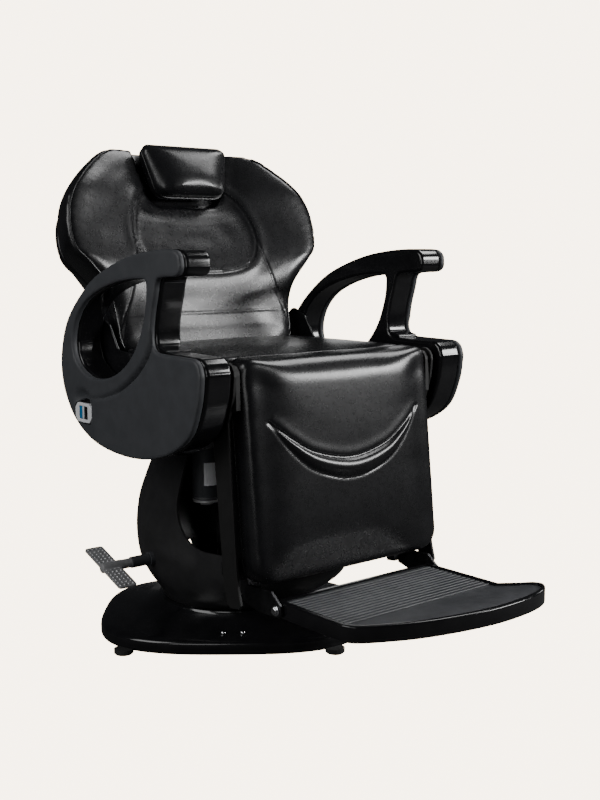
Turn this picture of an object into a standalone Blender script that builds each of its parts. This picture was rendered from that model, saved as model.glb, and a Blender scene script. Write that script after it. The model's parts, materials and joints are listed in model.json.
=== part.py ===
"""Barber chair on a swivelling hydraulic column: one object per sub-part, in metres.

The origin is on the floor under the middle of the whole chair, +Z is up and the sitter
faces -Y. Every size below is measured from the column's axis, which stands COLUMN_Y behind.
"""

import math

import bmesh
import bpy
from mathutils import Matrix, Vector

# ---------------------------------------------------------------- driving dimensions
GAP = 0.0004  # between pieces that touch
RUN = 0.0008  # between pieces that slide or turn in each other
COLUMN_Y = 0.1965  # from the origin back to the column's axis

# base
BASE_HALF = (0.295, 0.242)  # half width and half depth of the plate
BASE_TURN = math.radians(-39)  # the plate's own front, measured round from the chair's
DOME_SLOPE = math.radians(15.4)  # of the plate's top near its rim
FOOT_AT = (0.224, 0.205)
PLATE_LOW = 0.012
PLATE_TOP = 0.078

# column
COVER_SHIFT = -0.03
COVER_WALL = 0.005
COVER_TOP = 0.43
RAM_R = 0.030
LIFT = 0.15
PEDAL_AXIS = (0.0, 0.045, 0.174)
PEDAL_TILT = math.radians(20)

# seat
ARM_OUT = 0.350
ARM_SPLIT = 0.3345
ARM_IN = 0.276
SEAT_HALF = 0.262
SEAT_FRONT = -0.302
SEAT_BACK = 0.046
SEAT_TOP = 0.648
SEAT_LOW = 0.575
BOARD_T = 0.014
FRAME_LOW = 0.520
MOUNT_LOW = 0.505
MOTOR_AT = (-0.100, -0.040)
MOTOR_R = 0.031
SWITCH_AT = (0.046, 0.513)

# back: s runs up the back from the level of the seat, off runs behind its front face
BACK_TILT = math.radians(14)
BACK_ORIGIN = (0.075, 0.650)
RECLINE_OFF = 0.0715
RECLINE_S = -0.0595
CUSHION_BACK = 0.075
BOARD_BACK = 0.0875
SHELL_BACK = 0.125

# leg rest: u runs behind the axis, v runs up from it
LEG_AXIS = (0.0, -0.341, 0.618)
LEG_TILT = math.radians(6)
PAD_R = 0.033
PAD_LOW = -0.405
PAD_HALF = 0.243

# footrest
TRAY_AXIS = (0.0, -0.425, 0.176)
TRAY_LOW = 0.160
TRAY_TOP = 0.192
TRAY_SIDE = 0.2065

PARTS = None
CUTTERS = None


# ---------------------------------------------------------------- helpers
def start_scene():
    """Empty the scene, and make one collection for the parts and one for the cutters."""
    global PARTS, CUTTERS
    for old in list(bpy.data.objects):
        bpy.data.objects.remove(old, do_unlink=True)
    PARTS = bpy.data.collections.new("barber_chair")
    CUTTERS = bpy.data.collections.new("cutters")
    CUTTERS.hide_render = True
    for collection in (PARTS, CUTTERS):
        bpy.context.scene.collection.children.link(collection)


def make_material(name, colour, roughness, metallic=0.0):
    made = bpy.data.materials.new(name)
    made.use_nodes = True
    shader = made.node_tree.nodes["Principled BSDF"]
    shader.inputs["Base Color"].default_value = (*colour, 1.0)
    shader.inputs["Roughness"].default_value = roughness
    shader.inputs["Metallic"].default_value = metallic
    return made


def make_frame(name, place, turn=0.0, parent=None):
    """An empty on a joint's axis: the frame that the pieces of one body are built in."""
    frame = bpy.data.objects.new(name, None)
    PARTS.objects.link(frame)
    frame.parent = parent
    frame.location = Vector(place) - (parent.location if parent else Vector())
    frame.rotation_euler = (turn, 0.0, 0.0)
    return frame


def add_object(name, mesh, finish, frame, at=(0, 0, 0), turn=(0, 0, 0)):
    """Put a mesh in a body's frame. Without a finish it is a cutter."""
    made = bpy.data.objects.new(name, mesh)
    made.parent = frame
    made.location = at
    made.rotation_euler = turn
    mesh.shade_smooth()
    mesh.set_sharp_from_angle(angle=math.radians(32))
    if finish is None:
        CUTTERS.objects.link(made)
        made.hide_render = True
        made.display_type = "WIRE"
    else:
        PARTS.objects.link(made)
        mesh.materials.append(finish)
    return made


def box(name, low, high, finish, frame, bevel=0.0, turn=(0, 0, 0)):
    """A box between two corners, with its edges rounded."""
    low, high = Vector(low), Vector(high)
    form = bmesh.new()
    bmesh.ops.create_cube(form, size=1.0, matrix=Matrix.Diagonal((*(high - low), 1.0)))
    mesh = bpy.data.meshes.new(name)
    form.to_mesh(mesh)
    form.free()
    made = add_object(name, mesh, finish, frame, (low + high) / 2, turn)
    if bevel:
        rounding = made.modifiers.new("rounding", "BEVEL")
        rounding.width = bevel
        rounding.segments = 2
    return made


AXIS_TURN = {"X": (0, math.radians(90), 0), "-X": (0, math.radians(-90), 0), "Z": (0, 0, 0)}


def turned(name, profile, finish, frame, at=(0, 0, 0), axis="Z", steps=20, ring=False):
    """A turned piece. The profile (radius, height) runs from the top down its outer side."""
    form = bmesh.new()
    points = [form.verts.new((radius, 0.0, height)) for radius, height in profile]
    for first, second in zip(points, points[1:]):
        form.edges.new((first, second))
    if ring:
        form.edges.new((points[-1], points[0]))
    mesh = bpy.data.meshes.new(name)
    form.to_mesh(mesh)
    form.free()
    made = add_object(name, mesh, finish, frame, at, AXIS_TURN[axis])
    spin = made.modifiers.new("turning", "SCREW")
    spin.steps = steps
    spin.render_steps = steps
    spin.use_merge_vertices = True
    spin.merge_threshold = 0.0001
    return made


def rod(name, radius, low, high, finish, frame, at=(0, 0, 0), axis="Z", steps=18, edge=0.001):
    """A round bar with its two ends broken."""
    profile = [(0, high), (radius - edge, high), (radius, high - edge)]
    profile += [(radius, low + edge), (radius - edge, low), (0, low)]
    return turned(name, profile, finish, frame, at, axis, steps)


def tube(name, inner, outer, low, high, finish, frame, at=(0, 0, 0), axis="Z", steps=20):
    profile = [(inner, high), (outer, high), (outer, low), (inner, low)]
    return turned(name, profile, finish, frame, at, axis, steps, ring=True)


# columns are where an outline's two directions and its thickness point
PLANES = {
    "X": Matrix(((0, 0, 1), (1, 0, 0), (0, 1, 0))),
    "Y": Matrix(((1, 0, 0), (0, 0, -1), (0, 1, 0))),
    "Z": Matrix.Identity(3),
}


def extruded(name, outlines, plane, low, high, finish, frame, edge=0.0):
    """A flat outline, with holes if more than one is given, made thick across its plane."""
    curve = bpy.data.curves.new(name, "CURVE")
    curve.dimensions = "2D"
    curve.fill_mode = "BOTH"
    curve.extrude = (high - low) / 2 - edge
    curve.bevel_depth = edge
    curve.bevel_resolution = 1
    curve.offset = -edge
    for outline in outlines:
        spline = curve.splines.new("POLY")
        spline.points.add(len(outline) - 1)
        spline.use_cyclic_u = True
        for point, (first, second) in zip(spline.points, outline):
            point.co = (first, second, 0.0, 1.0)
    guide = bpy.data.objects.new(name + "_guide", curve)
    bpy.context.scene.collection.objects.link(guide)
    graph = bpy.context.evaluated_depsgraph_get()
    mesh = bpy.data.meshes.new_from_object(guide.evaluated_get(graph))
    bpy.data.objects.remove(guide, do_unlink=True)
    bpy.data.curves.remove(curve)
    turn = PLANES[plane]
    middle = turn @ Vector((0.0, 0.0, (high + low) / 2 if plane != "Y" else -(high + low) / 2))
    form = bmesh.new()
    form.from_mesh(mesh)
    bmesh.ops.remove_doubles(form, verts=form.verts, dist=0.00001)
    bmesh.ops.transform(form, matrix=Matrix.Translation(middle) @ turn.to_4x4(), verts=form.verts)
    bmesh.ops.recalc_face_normals(form, faces=form.faces)
    form.to_mesh(mesh)
    form.free()
    mesh.name = name
    return add_object(name, mesh, finish, frame)


def lofted(name, rings, finish, frame, closed=True):
    """A skin over rings of points that are listed from the bottom up."""
    form = bmesh.new()
    rows = [[form.verts.new(point) for point in ring] for ring in rings]
    count = len(rows[0])
    for lower, upper in zip(rows, rows[1:]):
        for here in range(count):
            after = (here + 1) % count
            form.faces.new((lower[here], lower[after], upper[after], upper[here]))
    if closed:
        form.faces.new(rows[-1])
        form.faces.new(list(reversed(rows[0])))
    mesh = bpy.data.meshes.new(name)
    form.to_mesh(mesh)
    form.free()
    return add_object(name, mesh, finish, frame)


def cut(piece, cutter, operation="DIFFERENCE"):
    change = piece.modifiers.new(operation.lower(), "BOOLEAN")
    change.operation = operation
    change.object = cutter


def super_ring(half_x, half_y, power, height, shift=0.0, turn=0.0, count=32):
    """Points round a rounded rectangle: power 2 is an ellipse, and more is squarer."""
    ring = []
    for step in range(count):
        angle = 2 * math.pi * step / count
        across, along = math.cos(angle), math.sin(angle)
        x = half_x * math.copysign(abs(across) ** (2 / power), across)
        y = half_y * math.copysign(abs(along) ** (2 / power), along)
        turned_x = x * math.cos(turn) - y * math.sin(turn)
        turned_y = x * math.sin(turn) + y * math.cos(turn)
        ring.append((turned_x, turned_y + shift, height))
    return ring


def arc(centre, radius, start, end, count):
    """Points along an arc, in degrees."""
    found = []
    for step in range(count):
        angle = math.radians(start + (end - start) * step / (count - 1))
        found.append((centre[0] + radius * math.cos(angle), centre[1] + radius * math.sin(angle)))
    return found


def smooth_loop(points, per_span=2):
    """A closed smooth curve through the points."""
    found = []
    count = len(points)
    for here in range(count):
        before, start, end, after = (Vector(points[(here + k) % count]) for k in (-1, 0, 1, 2))
        for step in range(per_span):
            t = step / per_span
            bend = 2 * start + (end - before) * t
            bend += (2 * before - 5 * start + 4 * end - after) * t * t
            bend += (3 * start - before - 3 * end + after) * t * t * t
            found.append(tuple(bend / 2))
    return found


def smooth_run(points, per_span=2):
    """An open smooth curve through the points."""
    doubled = [points[0], *points, points[-1]]
    found = []
    for here in range(1, len(doubled) - 2):
        before, start, end, after = (Vector(doubled[here + k]) for k in (-1, 0, 1, 2))
        for step in range(per_span):
            t = step / per_span
            bend = 2 * start + (end - before) * t
            bend += (2 * before - 5 * start + 4 * end - after) * t * t
            bend += (3 * start - before - 3 * end + after) * t * t * t
            found.append(tuple(bend / 2))
    return found + [points[-1]]


def rounded(corners, radius, count=4):
    """A convex outline with its corners rounded. The corners are listed anticlockwise."""
    found = []
    for here, corner in enumerate(corners):
        corner = Vector(corner)
        to_last = (Vector(corners[here - 1]) - corner).normalized()
        to_next = (Vector(corners[(here + 1) % len(corners)]) - corner).normalized()
        half = to_last.angle(to_next) / 2
        centre = corner + (to_last + to_next).normalized() * radius / math.sin(half)
        start = centre + (corner + to_last * radius / math.tan(half) - centre)
        end = centre + (corner + to_next * radius / math.tan(half) - centre)
        first = math.atan2(*(start - centre).yx)
        swing = (math.atan2(*(end - centre).yx) - first + math.pi) % (2 * math.pi) - math.pi
        for step in range(count):
            angle = first + swing * step / (count - 1)
            offset = Vector((math.cos(angle), math.sin(angle))) * radius
            found.append(tuple(centre + offset))
    return found


def mirrored(half):
    """An outline from its +X half, listed from the bottom to the top."""
    return half + [(-x, y) for x, y in reversed(half) if abs(x) > 1e-6]


def sides():
    """The two sides of the chair, as the sitter's right (-X) and left (+X)."""
    return (("right", -1), ("left", 1))


def outward(side):
    return "X" if side > 0 else "-X"


def span(side, inner, outer):
    """Low and high ends of a stretch of X on one side."""
    return (inner, outer) if side > 0 else (-outer, -inner)


# ---------------------------------------------------------------- base
def build_base(paint, frame):
    frame_turn = BASE_TURN
    half_x, half_y = BASE_HALF
    rings = [super_ring(half_x * s, half_y * s, 3.0, z, 0.0, frame_turn)
             for s, z in ((0.97, PLATE_LOW), (1.0, 0.018), (1.0, 0.030), (0.982, 0.037), (0.80, 0.049))]
    rings.append(super_ring(0.204, 0.182, 2.3, 0.058, 0.0, frame_turn))
    rings.append(super_ring(0.180, 0.171, 2.0, 0.070, 0.0, frame_turn))
    rings.append(super_ring(0.166, 0.166, 2.0, PLATE_TOP, 0.0, frame_turn))
    lofted("base_plate", rings, paint["gloss_black"], frame)
    for count, (right, front) in enumerate(((-1, -1), (1, -1), (1, 1), (-1, 1)), 1):
        foot = turn_about(frame_turn, right * FOOT_AT[0], front * FOOT_AT[1])
        top = PLATE_LOW - GAP
        profile = [(0, top), (0.021, top), (0.021, 0.003), (0.018, 0), (0, 0)]
        turned(f"rubber_foot_{count}", profile, paint["rubber"], frame, (*foot, 0), steps=18)
    for name, offset in (("left", -0.0205), ("right", 0.0205)):
        spot = turn_about(frame_turn, offset + 0.008, -0.212)
        head = [(0, 0.0045), (0.0035, 0.0040), (0.0060, 0.0015), (0.0062, 0), (0, 0)]
        bolt = turned(f"base_bolt_{name}", head, paint["chrome"], frame, (*spot, 0.0448), steps=16)
        bolt.rotation_euler = (DOME_SLOPE, 0, frame_turn)
    tube("lower_race", 0.100, 0.135, PLATE_TOP + GAP, 0.087, paint["steel"], frame, steps=28)


def turn_about(angle, x, y):
    return x * math.cos(angle) - y * math.sin(angle), x * math.sin(angle) + y * math.cos(angle)


# ---------------------------------------------------------------- swivelling column
def build_column(paint, frame):
    tube("turntable", 0.020, 0.138, 0.087 + RUN, 0.098, paint["steel"], frame, steps=28)
    barrel = [(0, 0.112), (RAM_R + RUN, 0.112), (RAM_R + RUN, 0.400), (0.0362, 0.400)]
    barrel += [(0.0362, 0.106), (0.075, 0.106), (0.075, 0.098 + GAP), (0, 0.098 + GAP)]
    turned("lift_cylinder", barrel, paint["steel"], frame)
    tube("cylinder_gland", RAM_R + RUN, 0.048, 0.400 + GAP, 0.418, paint["chrome"], frame)
    levels = ((0.0805, 0.158, 0.162, 2.0, 0.0), (0.100, 0.168, 0.185, 2.1, -0.012),
              (0.130, 0.183, 0.222, 2.4, -0.024), (0.165, 0.191, 0.250, 2.6, COVER_SHIFT),
              (0.225, 0.194, 0.262, 2.6, COVER_SHIFT), (0.290, 0.189, 0.254, 2.6, COVER_SHIFT),
              (0.340, 0.178, 0.240, 2.5, COVER_SHIFT), (0.385, 0.165, 0.224, 2.4, COVER_SHIFT),
              (COVER_TOP, 0.152, 0.208, 2.3, COVER_SHIFT))
    rings = [super_ring(a, b, power, z, shift) for z, a, b, power, shift in levels]
    cover = lofted("column_cover", rings, paint["satin_black"], frame, closed=False)
    wall = cover.modifiers.new("wall", "SOLIDIFY")
    wall.thickness = COVER_WALL
    wall.offset = -1.0
    wall.use_even_offset = True
    edge_y, sill_z, bend = -0.048, 0.226, 0.105
    front_y, over_z = -0.36, COVER_TOP + 0.06
    opening = [(front_y, over_z), (front_y, sill_z - 0.004)]
    opening += arc((edge_y - bend, sill_z + bend), bend, -90, 0, 9)
    opening += [(edge_y, over_z)]
    cut(cover, extruded("cover_opening", [opening], "X", -0.25, 0.25, None, frame))
    for name, side in sides():
        at = (side * 0.1895, PEDAL_AXIS[1], PEDAL_AXIS[2])
        bore = rod(f"pedal_bore_{name}", 0.0160, -0.030, 0.030, None, frame, at, "X")
        cut(cover, bore)
        low, high = span(side, 0.176, 0.199)
        tube(f"pedal_bush_{name}", 0.0075 + RUN, 0.0155, low, high, paint["chrome"], frame,
             (0, *PEDAL_AXIS[1:]), "X", steps=20)
    inlet = box("power_inlet", (-0.026, 0.2145, 0.118), (0.026, 0.2275, 0.150),
                paint["matte_black"], frame, 0.002)
    cut(inlet, box("inlet_socket", (-0.018, 0.219, 0.124), (0.018, 0.240, 0.144), None, frame))
    cut(cover, box("inlet_window", (-0.0265, 0.150, 0.1175), (0.0265, 0.260, 0.1505), None, frame))


def build_pedals(paint, frame):
    rod("pedal_shaft", 0.0075, -0.262, 0.262, paint["steel"], frame, axis="X", steps=16)
    for name, side in sides():
        low, high = span(side, 0.2005, 0.243)
        tube(f"pedal_collar_{name}", 0.0075 + GAP, 0.0125, low, high, paint["matte_black"], frame,
             axis="X", steps=20)
        sleeve = [(0, 0.3160), (0.0100, 0.3160), (0.0115, 0.3145), (0.0115, 0.2435)]
        sleeve += [(0.0075 + GAP, 0.2435), (0.0075 + GAP, 0.2640), (0, 0.2640)]
        bar = turned(f"pedal_{name}", sleeve, paint["silver"], frame, axis=outward(side), steps=20)
        low, high = span(side, 0.272, 0.3155)
        tread = box(f"tread_{name}", (low, -0.078, -0.0040), (high, 0.078, 0.0015), None, frame, 0.0015)
        tread.rotation_euler = (PEDAL_TILT, 0, 0)
        cut(bar, tread, "UNION")


# ---------------------------------------------------------------- lifting seat
def arm_outline():
    """The side of an armrest and its lower body, in Y and Z."""
    over = smooth_run([(-0.316, 0.838), (-0.306, 0.848), (-0.262, 0.850), (-0.205, 0.847), (-0.140, 0.837),
                       (-0.070, 0.818), (0.000, 0.790), (0.062, 0.748), (0.108, 0.702), (0.134, 0.650),
                       (0.138, 0.598), (0.122, 0.545), (0.080, 0.494), (0.010, 0.458), (-0.080, 0.443),
                       (-0.180, 0.445), (-0.270, 0.467), (-0.338, 0.508), (-0.370, 0.572), (-0.378, 0.630),
                       (-0.370, 0.650)])
    ledge = [(-0.350, 0.6535), (-0.222, 0.6555)]
    post = smooth_run([(-0.212, 0.664), (-0.214, 0.700), (-0.229, 0.750), (-0.236, 0.790)])
    nose = [(-0.244, 0.7975), (-0.308, 0.8015), (-0.316, 0.809)]
    return list(reversed(over + ledge + post + nose))


def arm_hole():
    return smooth_loop([(-0.200, 0.791), (-0.150, 0.7925), (-0.095, 0.786), (-0.030, 0.770), (0.030, 0.744),
                        (0.070, 0.706), (0.086, 0.660), (0.074, 0.620), (0.030, 0.594), (-0.020, 0.589),
                        (-0.080, 0.602), (-0.135, 0.634), (-0.175, 0.682), (-0.197, 0.738)])


def build_seat(paint, frame):
    rod("lift_ram", RAM_R, 0.124, MOUNT_LOW - GAP, paint["chrome"], frame)
    box("mount_plate", (-0.058, -0.110, MOUNT_LOW), (0.058, 0.110, FRAME_LOW - GAP), paint["steel"], frame, 0.003)
    edge = [(0.258, -0.285), (0.258, -0.215), (ARM_IN - GAP, -0.215), (ARM_IN - GAP, -0.135), (0.258, -0.135),
            (0.258, -0.005), (ARM_IN - GAP, -0.005), (ARM_IN - GAP, 0.075), (0.258, 0.075), (0.258, 0.088)]
    outer = mirrored(edge)
    front = [(-0.220, -0.247), (0.220, -0.247), (0.220, -0.120), (-0.220, -0.120)]
    top = SEAT_LOW - BOARD_T - GAP * 2
    extruded("seat_frame", [outer, front], "Z", FRAME_LOW, top, paint["steel"], frame)
    box("seat_board", (-0.243, -0.288, SEAT_LOW - BOARD_T - GAP), (0.243, 0.044, SEAT_LOW - GAP),
        paint["wood"], frame, 0.002)
    cushion = rounded([(-SEAT_HALF, SEAT_FRONT), (SEAT_HALF, SEAT_FRONT), (SEAT_HALF, SEAT_BACK),
                       (-SEAT_HALF, SEAT_BACK)], 0.03)
    extruded("seat_cushion", [cushion], "Z", SEAT_LOW, SEAT_TOP, paint["leather"], frame, 0.014)
    outline, hole = arm_outline(), arm_hole()
    for name, side in sides():
        low, high = span(side, ARM_IN, ARM_SPLIT)
        extruded(f"arm_body_{name}", [outline, hole], "X", low, high, paint["gloss_black"], frame, 0.006)
        low, high = span(side, ARM_SPLIT + GAP, ARM_OUT)
        panel = extruded(f"arm_panel_{name}", [outline, hole], "X", low, high, paint["matte_black"], frame, 0.004)
        if side < 0:
            y, z = SWITCH_AT
            window = rounded([(y - 0.036, z - 0.024), (y + 0.036, z - 0.024), (y + 0.036, z + 0.024),
                              (y - 0.036, z + 0.024)], 0.012)
            cut(panel, extruded("switch_window", [window], "X", -0.37, -ARM_SPLIT, None, frame))
    build_power(paint, frame)
    build_hinge_supports(paint, frame)


def build_power(paint, frame):
    """The motor and pump under the seat, and the switch that works them."""
    at = (*MOTOR_AT, 0)
    rod("pump_motor", MOTOR_R, 0.312, 0.428, paint["matte_black"], frame, at, edge=0.002, steps=28)
    cap = [(0, 0.312 - GAP), (MOTOR_R - 0.002, 0.312 - GAP), (MOTOR_R, 0.309), (MOTOR_R, 0.306),
           (0.014, 0.3055), (0.013, 0.299), (0, 0.298)]
    turned("motor_end_cap", cap, paint["silver"], frame, at, steps=28)
    x, y = MOTOR_AT
    box("pump_block", (x - 0.036, y - 0.040, 0.428 + GAP), (x + 0.036, y + 0.044, FRAME_LOW - GAP),
        paint["aluminium"], frame, 0.003)
    y, z = SWITCH_AT
    plate = [(y + dy, z + dz) for dy, dz in ((-0.033, -0.012), (-0.024, -0.021), (0.024, -0.021),
                                            (0.033, -0.012), (0.033, 0.012), (0.024, 0.021),
                                            (-0.024, 0.021), (-0.033, 0.012))]
    window = [(y - 0.017, z - 0.0135), (y + 0.017, z - 0.0135), (y + 0.017, z + 0.0135), (y - 0.017, z + 0.0135)]
    extruded("switch_bezel", [plate, window], "X", -0.3462, -0.3432, paint["chrome"], frame, 0.0005)
    box("switch_body", (-0.3400, y - 0.016, z - 0.013), (-ARM_SPLIT - GAP, y + 0.016, z + 0.013),
        paint["matte_black"], frame, 0.001)


def build_rocker(paint, frame):
    """The switch's rocker: a shallow V across its pin."""
    outline = [(-0.0040, -0.0160), (-0.0012, -0.0010), (-0.0012, 0.0010), (-0.0040, 0.0160),
               (0.0004, 0.0160), (0.0022, 0.0050), (0.0022, -0.0050), (0.0004, -0.0160)]
    extruded("switch_rocker", [outline], "Z", -0.0128, 0.0128, paint["rocker"], frame, 0.0004)


def build_hinge_supports(paint, frame):
    """Lugs on the seat frame, with the pins that the back turns on."""
    hinge_y, hinge_z = recline_axis()
    for name, side in sides():
        low, high = span(side, 0.2445, 0.2575)
        lug = rounded([(0.0885, FRAME_LOW), (hinge_y + 0.020, FRAME_LOW), (hinge_y + 0.020, hinge_z + 0.018),
                       (0.0885, hinge_z + 0.018)], 0.010)
        piece = extruded(f"hinge_lug_{name}", [lug], "X", low, high, paint["steel"], frame, 0.001)
        cut(piece, rod(f"lug_bore_{name}", 0.008 + GAP, low - 0.01, high + 0.01, None, frame,
                       (0, hinge_y, hinge_z), "X"))
        head = [(0, 0.0685), (0.0115, 0.0680), (0.0125, 0.0665), (0.0125, 0.0640), (0.0080, 0.0640),
                (0.0080, 0.0012), (0.0072, 0), (0, 0)]
        turned(f"hinge_pin_{name}", head, paint["chrome"], frame, (side * 0.1940, hinge_y, hinge_z),
               outward(side), 20)
        low, high = span(side, 0.2460, 0.2570)
        axle = LEG_AXIS[1:]
        plate = arc(axle, 0.018, 0, 180, 9) + [(-0.361, 0.552), (-0.2855, 0.528), (-0.2855, 0.558), (-0.3035, 0.574)]
        lug = extruded(f"leg_lug_{name}", [plate], "X", low, high, paint["steel"], frame, 0.001)
        stub = [(0, 0.0245), (0.0100, 0.0240), (0.0110, 0.0225), (0.0110, 0.0215), (0.0070, 0.0215),
                (0.0070, 0.0050), (0, 0.0050)]
        cut(lug, turned(f"leg_stub_{name}", stub, None, frame, (side * 0.2450, *axle), outward(side), 18), "UNION")


# ---------------------------------------------------------------- back and headrest
def recline_axis():
    """World Y and Z of the hinge between seat and back."""
    cos, sin = math.cos(BACK_TILT), math.sin(BACK_TILT)
    y = BACK_ORIGIN[0] + RECLINE_OFF * cos + RECLINE_S * sin
    z = BACK_ORIGIN[1] - RECLINE_OFF * sin + RECLINE_S * cos
    return y, z


def in_back(off, s):
    """Y and Z in the back's frame, which has its origin on the hinge."""
    return off - RECLINE_OFF, s - RECLINE_S


def back_outline(inset=0.0, bottom=-0.035, wing=0.0):
    half = [(0.205, bottom), (0.236, bottom + 0.025), (0.241, 0.030), (0.246, 0.080), (0.262, 0.125),
            (0.300, 0.168), (0.330, 0.200), (0.338, 0.240), (0.334, 0.290), (0.318, 0.330),
            (0.290, 0.366), (0.250, 0.402), (0.208, 0.430), (0.150, 0.442), (0.060, 0.443)]
    half = [(x - inset - wing * min(max((s - 0.12) / 0.06, 0), 1), s - (inset + wing / 2) * min(max((s - 0.2) / 0.15, 0), 1))
            for x, s in smooth_run(half, 2)]
    return [(x, s - RECLINE_S) for x, s in mirrored(half)]


def extruded_back(name, outlines, low_off, high_off, finish, frame, edge=0.0):
    """A piece of the back, thick from one depth behind its front face to another."""
    low, high = in_back(low_off, 0)[0], in_back(high_off, 0)[0]
    return extruded(name, outlines, "Y", low, high, finish, frame, edge)


def profile_back(name, points, low, high, finish, frame, edge=0.0):
    """A piece of the back from its side outline, listed as (off, s)."""
    return extruded(name, [[in_back(*point) for point in points]], "X", low, high, finish, frame, edge)


def build_back(paint, frame):
    cushion = extruded_back("back_cushion", [back_outline()], -0.012, CUSHION_BACK - GAP,
                            paint["leather"], frame, 0.02)
    pocket = rounded([(-0.126, 0.305 - RECLINE_S), (0.126, 0.305 - RECLINE_S), (0.134, 0.50 - RECLINE_S),
                      (-0.134, 0.50 - RECLINE_S)], 0.02)
    cut(cushion, extruded_back("headrest_pocket", [pocket], -0.05, 0.042, None, frame))
    board = extruded_back("back_board", [back_outline(0.030, -0.028)], CUSHION_BACK, BOARD_BACK - GAP,
                          paint["wood"], frame, 0.002)
    shell = extruded_back("back_shell", [back_outline(0.026, -0.024, 0.018)], BOARD_BACK, SHELL_BACK,
                          paint["satin_black"], frame, 0.010)
    hollow = back_outline(0.032, -0.060, 0.018)
    cut(shell, extruded_back("shell_hollow", [hollow], BOARD_BACK - 0.01, SHELL_BACK - 0.005, None, frame))
    slot = box("stem_window", (-0.024, in_back(0.086, 0)[0], in_back(0, 0.36)[1]),
               (0.024, in_back(0.1085, 0)[0], in_back(0, 0.47)[1]), None, frame)
    cut(shell, slot)
    guide = box("headrest_guide", (-0.030, in_back(BOARD_BACK, 0)[0], in_back(0, 0.200)[1]),
                (0.030, in_back(0.1045, 0)[0], in_back(0, 0.350)[1]), paint["steel"], frame, 0.002)
    cut(guide, box("guide_slot", (-0.0188, in_back(0.0927, 0)[0], in_back(0, 0.15)[1]),
                   (0.0188, in_back(0.0993, 0)[0], in_back(0, 0.45)[1]), None, frame))
    for name, side in sides():
        low, high = span(side, 0.1950, 0.2060)
        eye = [in_back(*point) for point in arc((RECLINE_OFF, RECLINE_S), 0.0165, 150, 350, 12)]
        strap = [in_back(*point) for point in ((0.1080, -0.030), (0.1080, 0.150), (BOARD_BACK + GAP, 0.150),
                                               (BOARD_BACK + GAP, -0.0345), (0.0640, -0.0440))]
        piece = extruded(f"back_strap_{name}", [eye + strap], "X", low, high, paint["steel"], frame)
        cut(piece, rod(f"strap_bore_{name}", 0.008 + GAP, low - 0.02, high + 0.02, None, frame, axis="X"))


def build_headrest(paint, frame):
    pillow = rounded([(-0.094, 0.316 - RECLINE_S), (0.094, 0.316 - RECLINE_S), (0.117, 0.452 - RECLINE_S),
                      (-0.117, 0.452 - RECLINE_S)], 0.024)
    extruded_back("headrest_cushion", [pillow], -0.044, 0.030, paint["leather"], frame, 0.018)
    plate = rounded([(-0.070, 0.335 - RECLINE_S), (0.070, 0.335 - RECLINE_S), (0.085, 0.438 - RECLINE_S),
                     (-0.085, 0.438 - RECLINE_S)], 0.012)
    extruded_back("headrest_board", [plate], 0.030 + GAP, 0.0355, paint["wood"], frame)
    stem = [(0.0359, 0.370), (0.0395, 0.370), (0.0395, 0.4465), (0.0940, 0.4465), (0.0940, 0.205),
            (0.0980, 0.205), (0.0980, 0.4505), (0.0359, 0.4505)]
    profile_back("headrest_stem", stem, -0.018, 0.018, paint["chrome"], frame)


# ---------------------------------------------------------------- leg rest and footrest
def in_leg(y, z):
    """World Y and Z as the leg rest's own u and v."""
    cos, sin = math.cos(LEG_TILT), math.sin(LEG_TILT)
    y, z = y - LEG_AXIS[1], z - LEG_AXIS[2]
    return y * cos - z * sin, y * sin + z * cos


def build_leg_rest(paint, frame):
    pad = arc((0, 0), PAD_R, 0, 180, 9)
    pad += arc((-PAD_R + 0.026, PAD_LOW + 0.026), 0.026, 180, 270, 4)
    pad += arc((PAD_R - 0.010, PAD_LOW + 0.010), 0.010, 270, 360, 3)
    extruded("calf_pad", [pad], "X", -PAD_HALF, PAD_HALF, paint["leather"], frame, 0.008)
    board = rounded([(PAD_R + GAP, PAD_LOW + 0.01), (PAD_R + 0.013, PAD_LOW + 0.01),
                     (PAD_R + 0.013, -0.070), (PAD_R + GAP, -0.070)], 0.003, 3)
    extruded("calf_board", [board], "X", -0.236, 0.236, paint["satin_black"], frame)
    tray_u, tray_v = in_leg(TRAY_AXIS[1], TRAY_AXIS[2])
    for name, side in sides():
        low, high = span(side, 0.2583, 0.2645)
        plate = arc((0, 0), 0.024, -10, 190, 9)
        plate += [(-0.016, -0.040), (0.006, -0.090), (0.012, -0.400), (0.006, -0.436), (0.012, -0.444), (0.040, -0.444),
                  (0.050, -0.436), (0.056, -0.400), (0.058, -0.090), (0.040, -0.040)]
        arm = extruded(f"leg_arm_{name}", [plate], "X", low, high, paint["satin_black"], frame, 0.001)
        cut(arm, rod(f"leg_bore_{name}", 0.007 + GAP, low - 0.01, high + 0.01, None, frame, axis="X"))
    bar = box("footrest_carrier", (-0.258, 0.0475, -0.386), (0.258, 0.0710, -0.358), paint["steel"], frame, 0.003)
    for name, side in sides():
        low, high = span(side, 0.1800, 0.2150)
        post = box(f"carrier_post_{name}", (low, 0.0475, -0.432), (high, 0.0710, -0.370), None, frame, 0.002)
        cut(bar, post, "UNION")
        low, high = span(side, 0.2090, 0.2150)
        bracket = [(0.066, -0.420), (0.040, -0.4095), (tray_u + 0.012, -0.4140), (tray_u - 0.006, tray_v + 0.0165),
                   (tray_u - 0.014, tray_v + 0.010), (tray_u - 0.015, tray_v - 0.006), (tray_u - 0.006, tray_v - 0.014),
                   (0.020, -0.4580), (0.066, -0.4400)]
        cut(bar, extruded(f"tray_bracket_{name}", [bracket], "X", low, high, None, frame, 0.0008), "UNION")
        cut(bar, rod(f"bracket_bore_{name}", 0.005 + GAP, low - 0.01, high + 0.01, None, frame,
                     (0, tray_u, tray_v), "X", steps=16))


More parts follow.
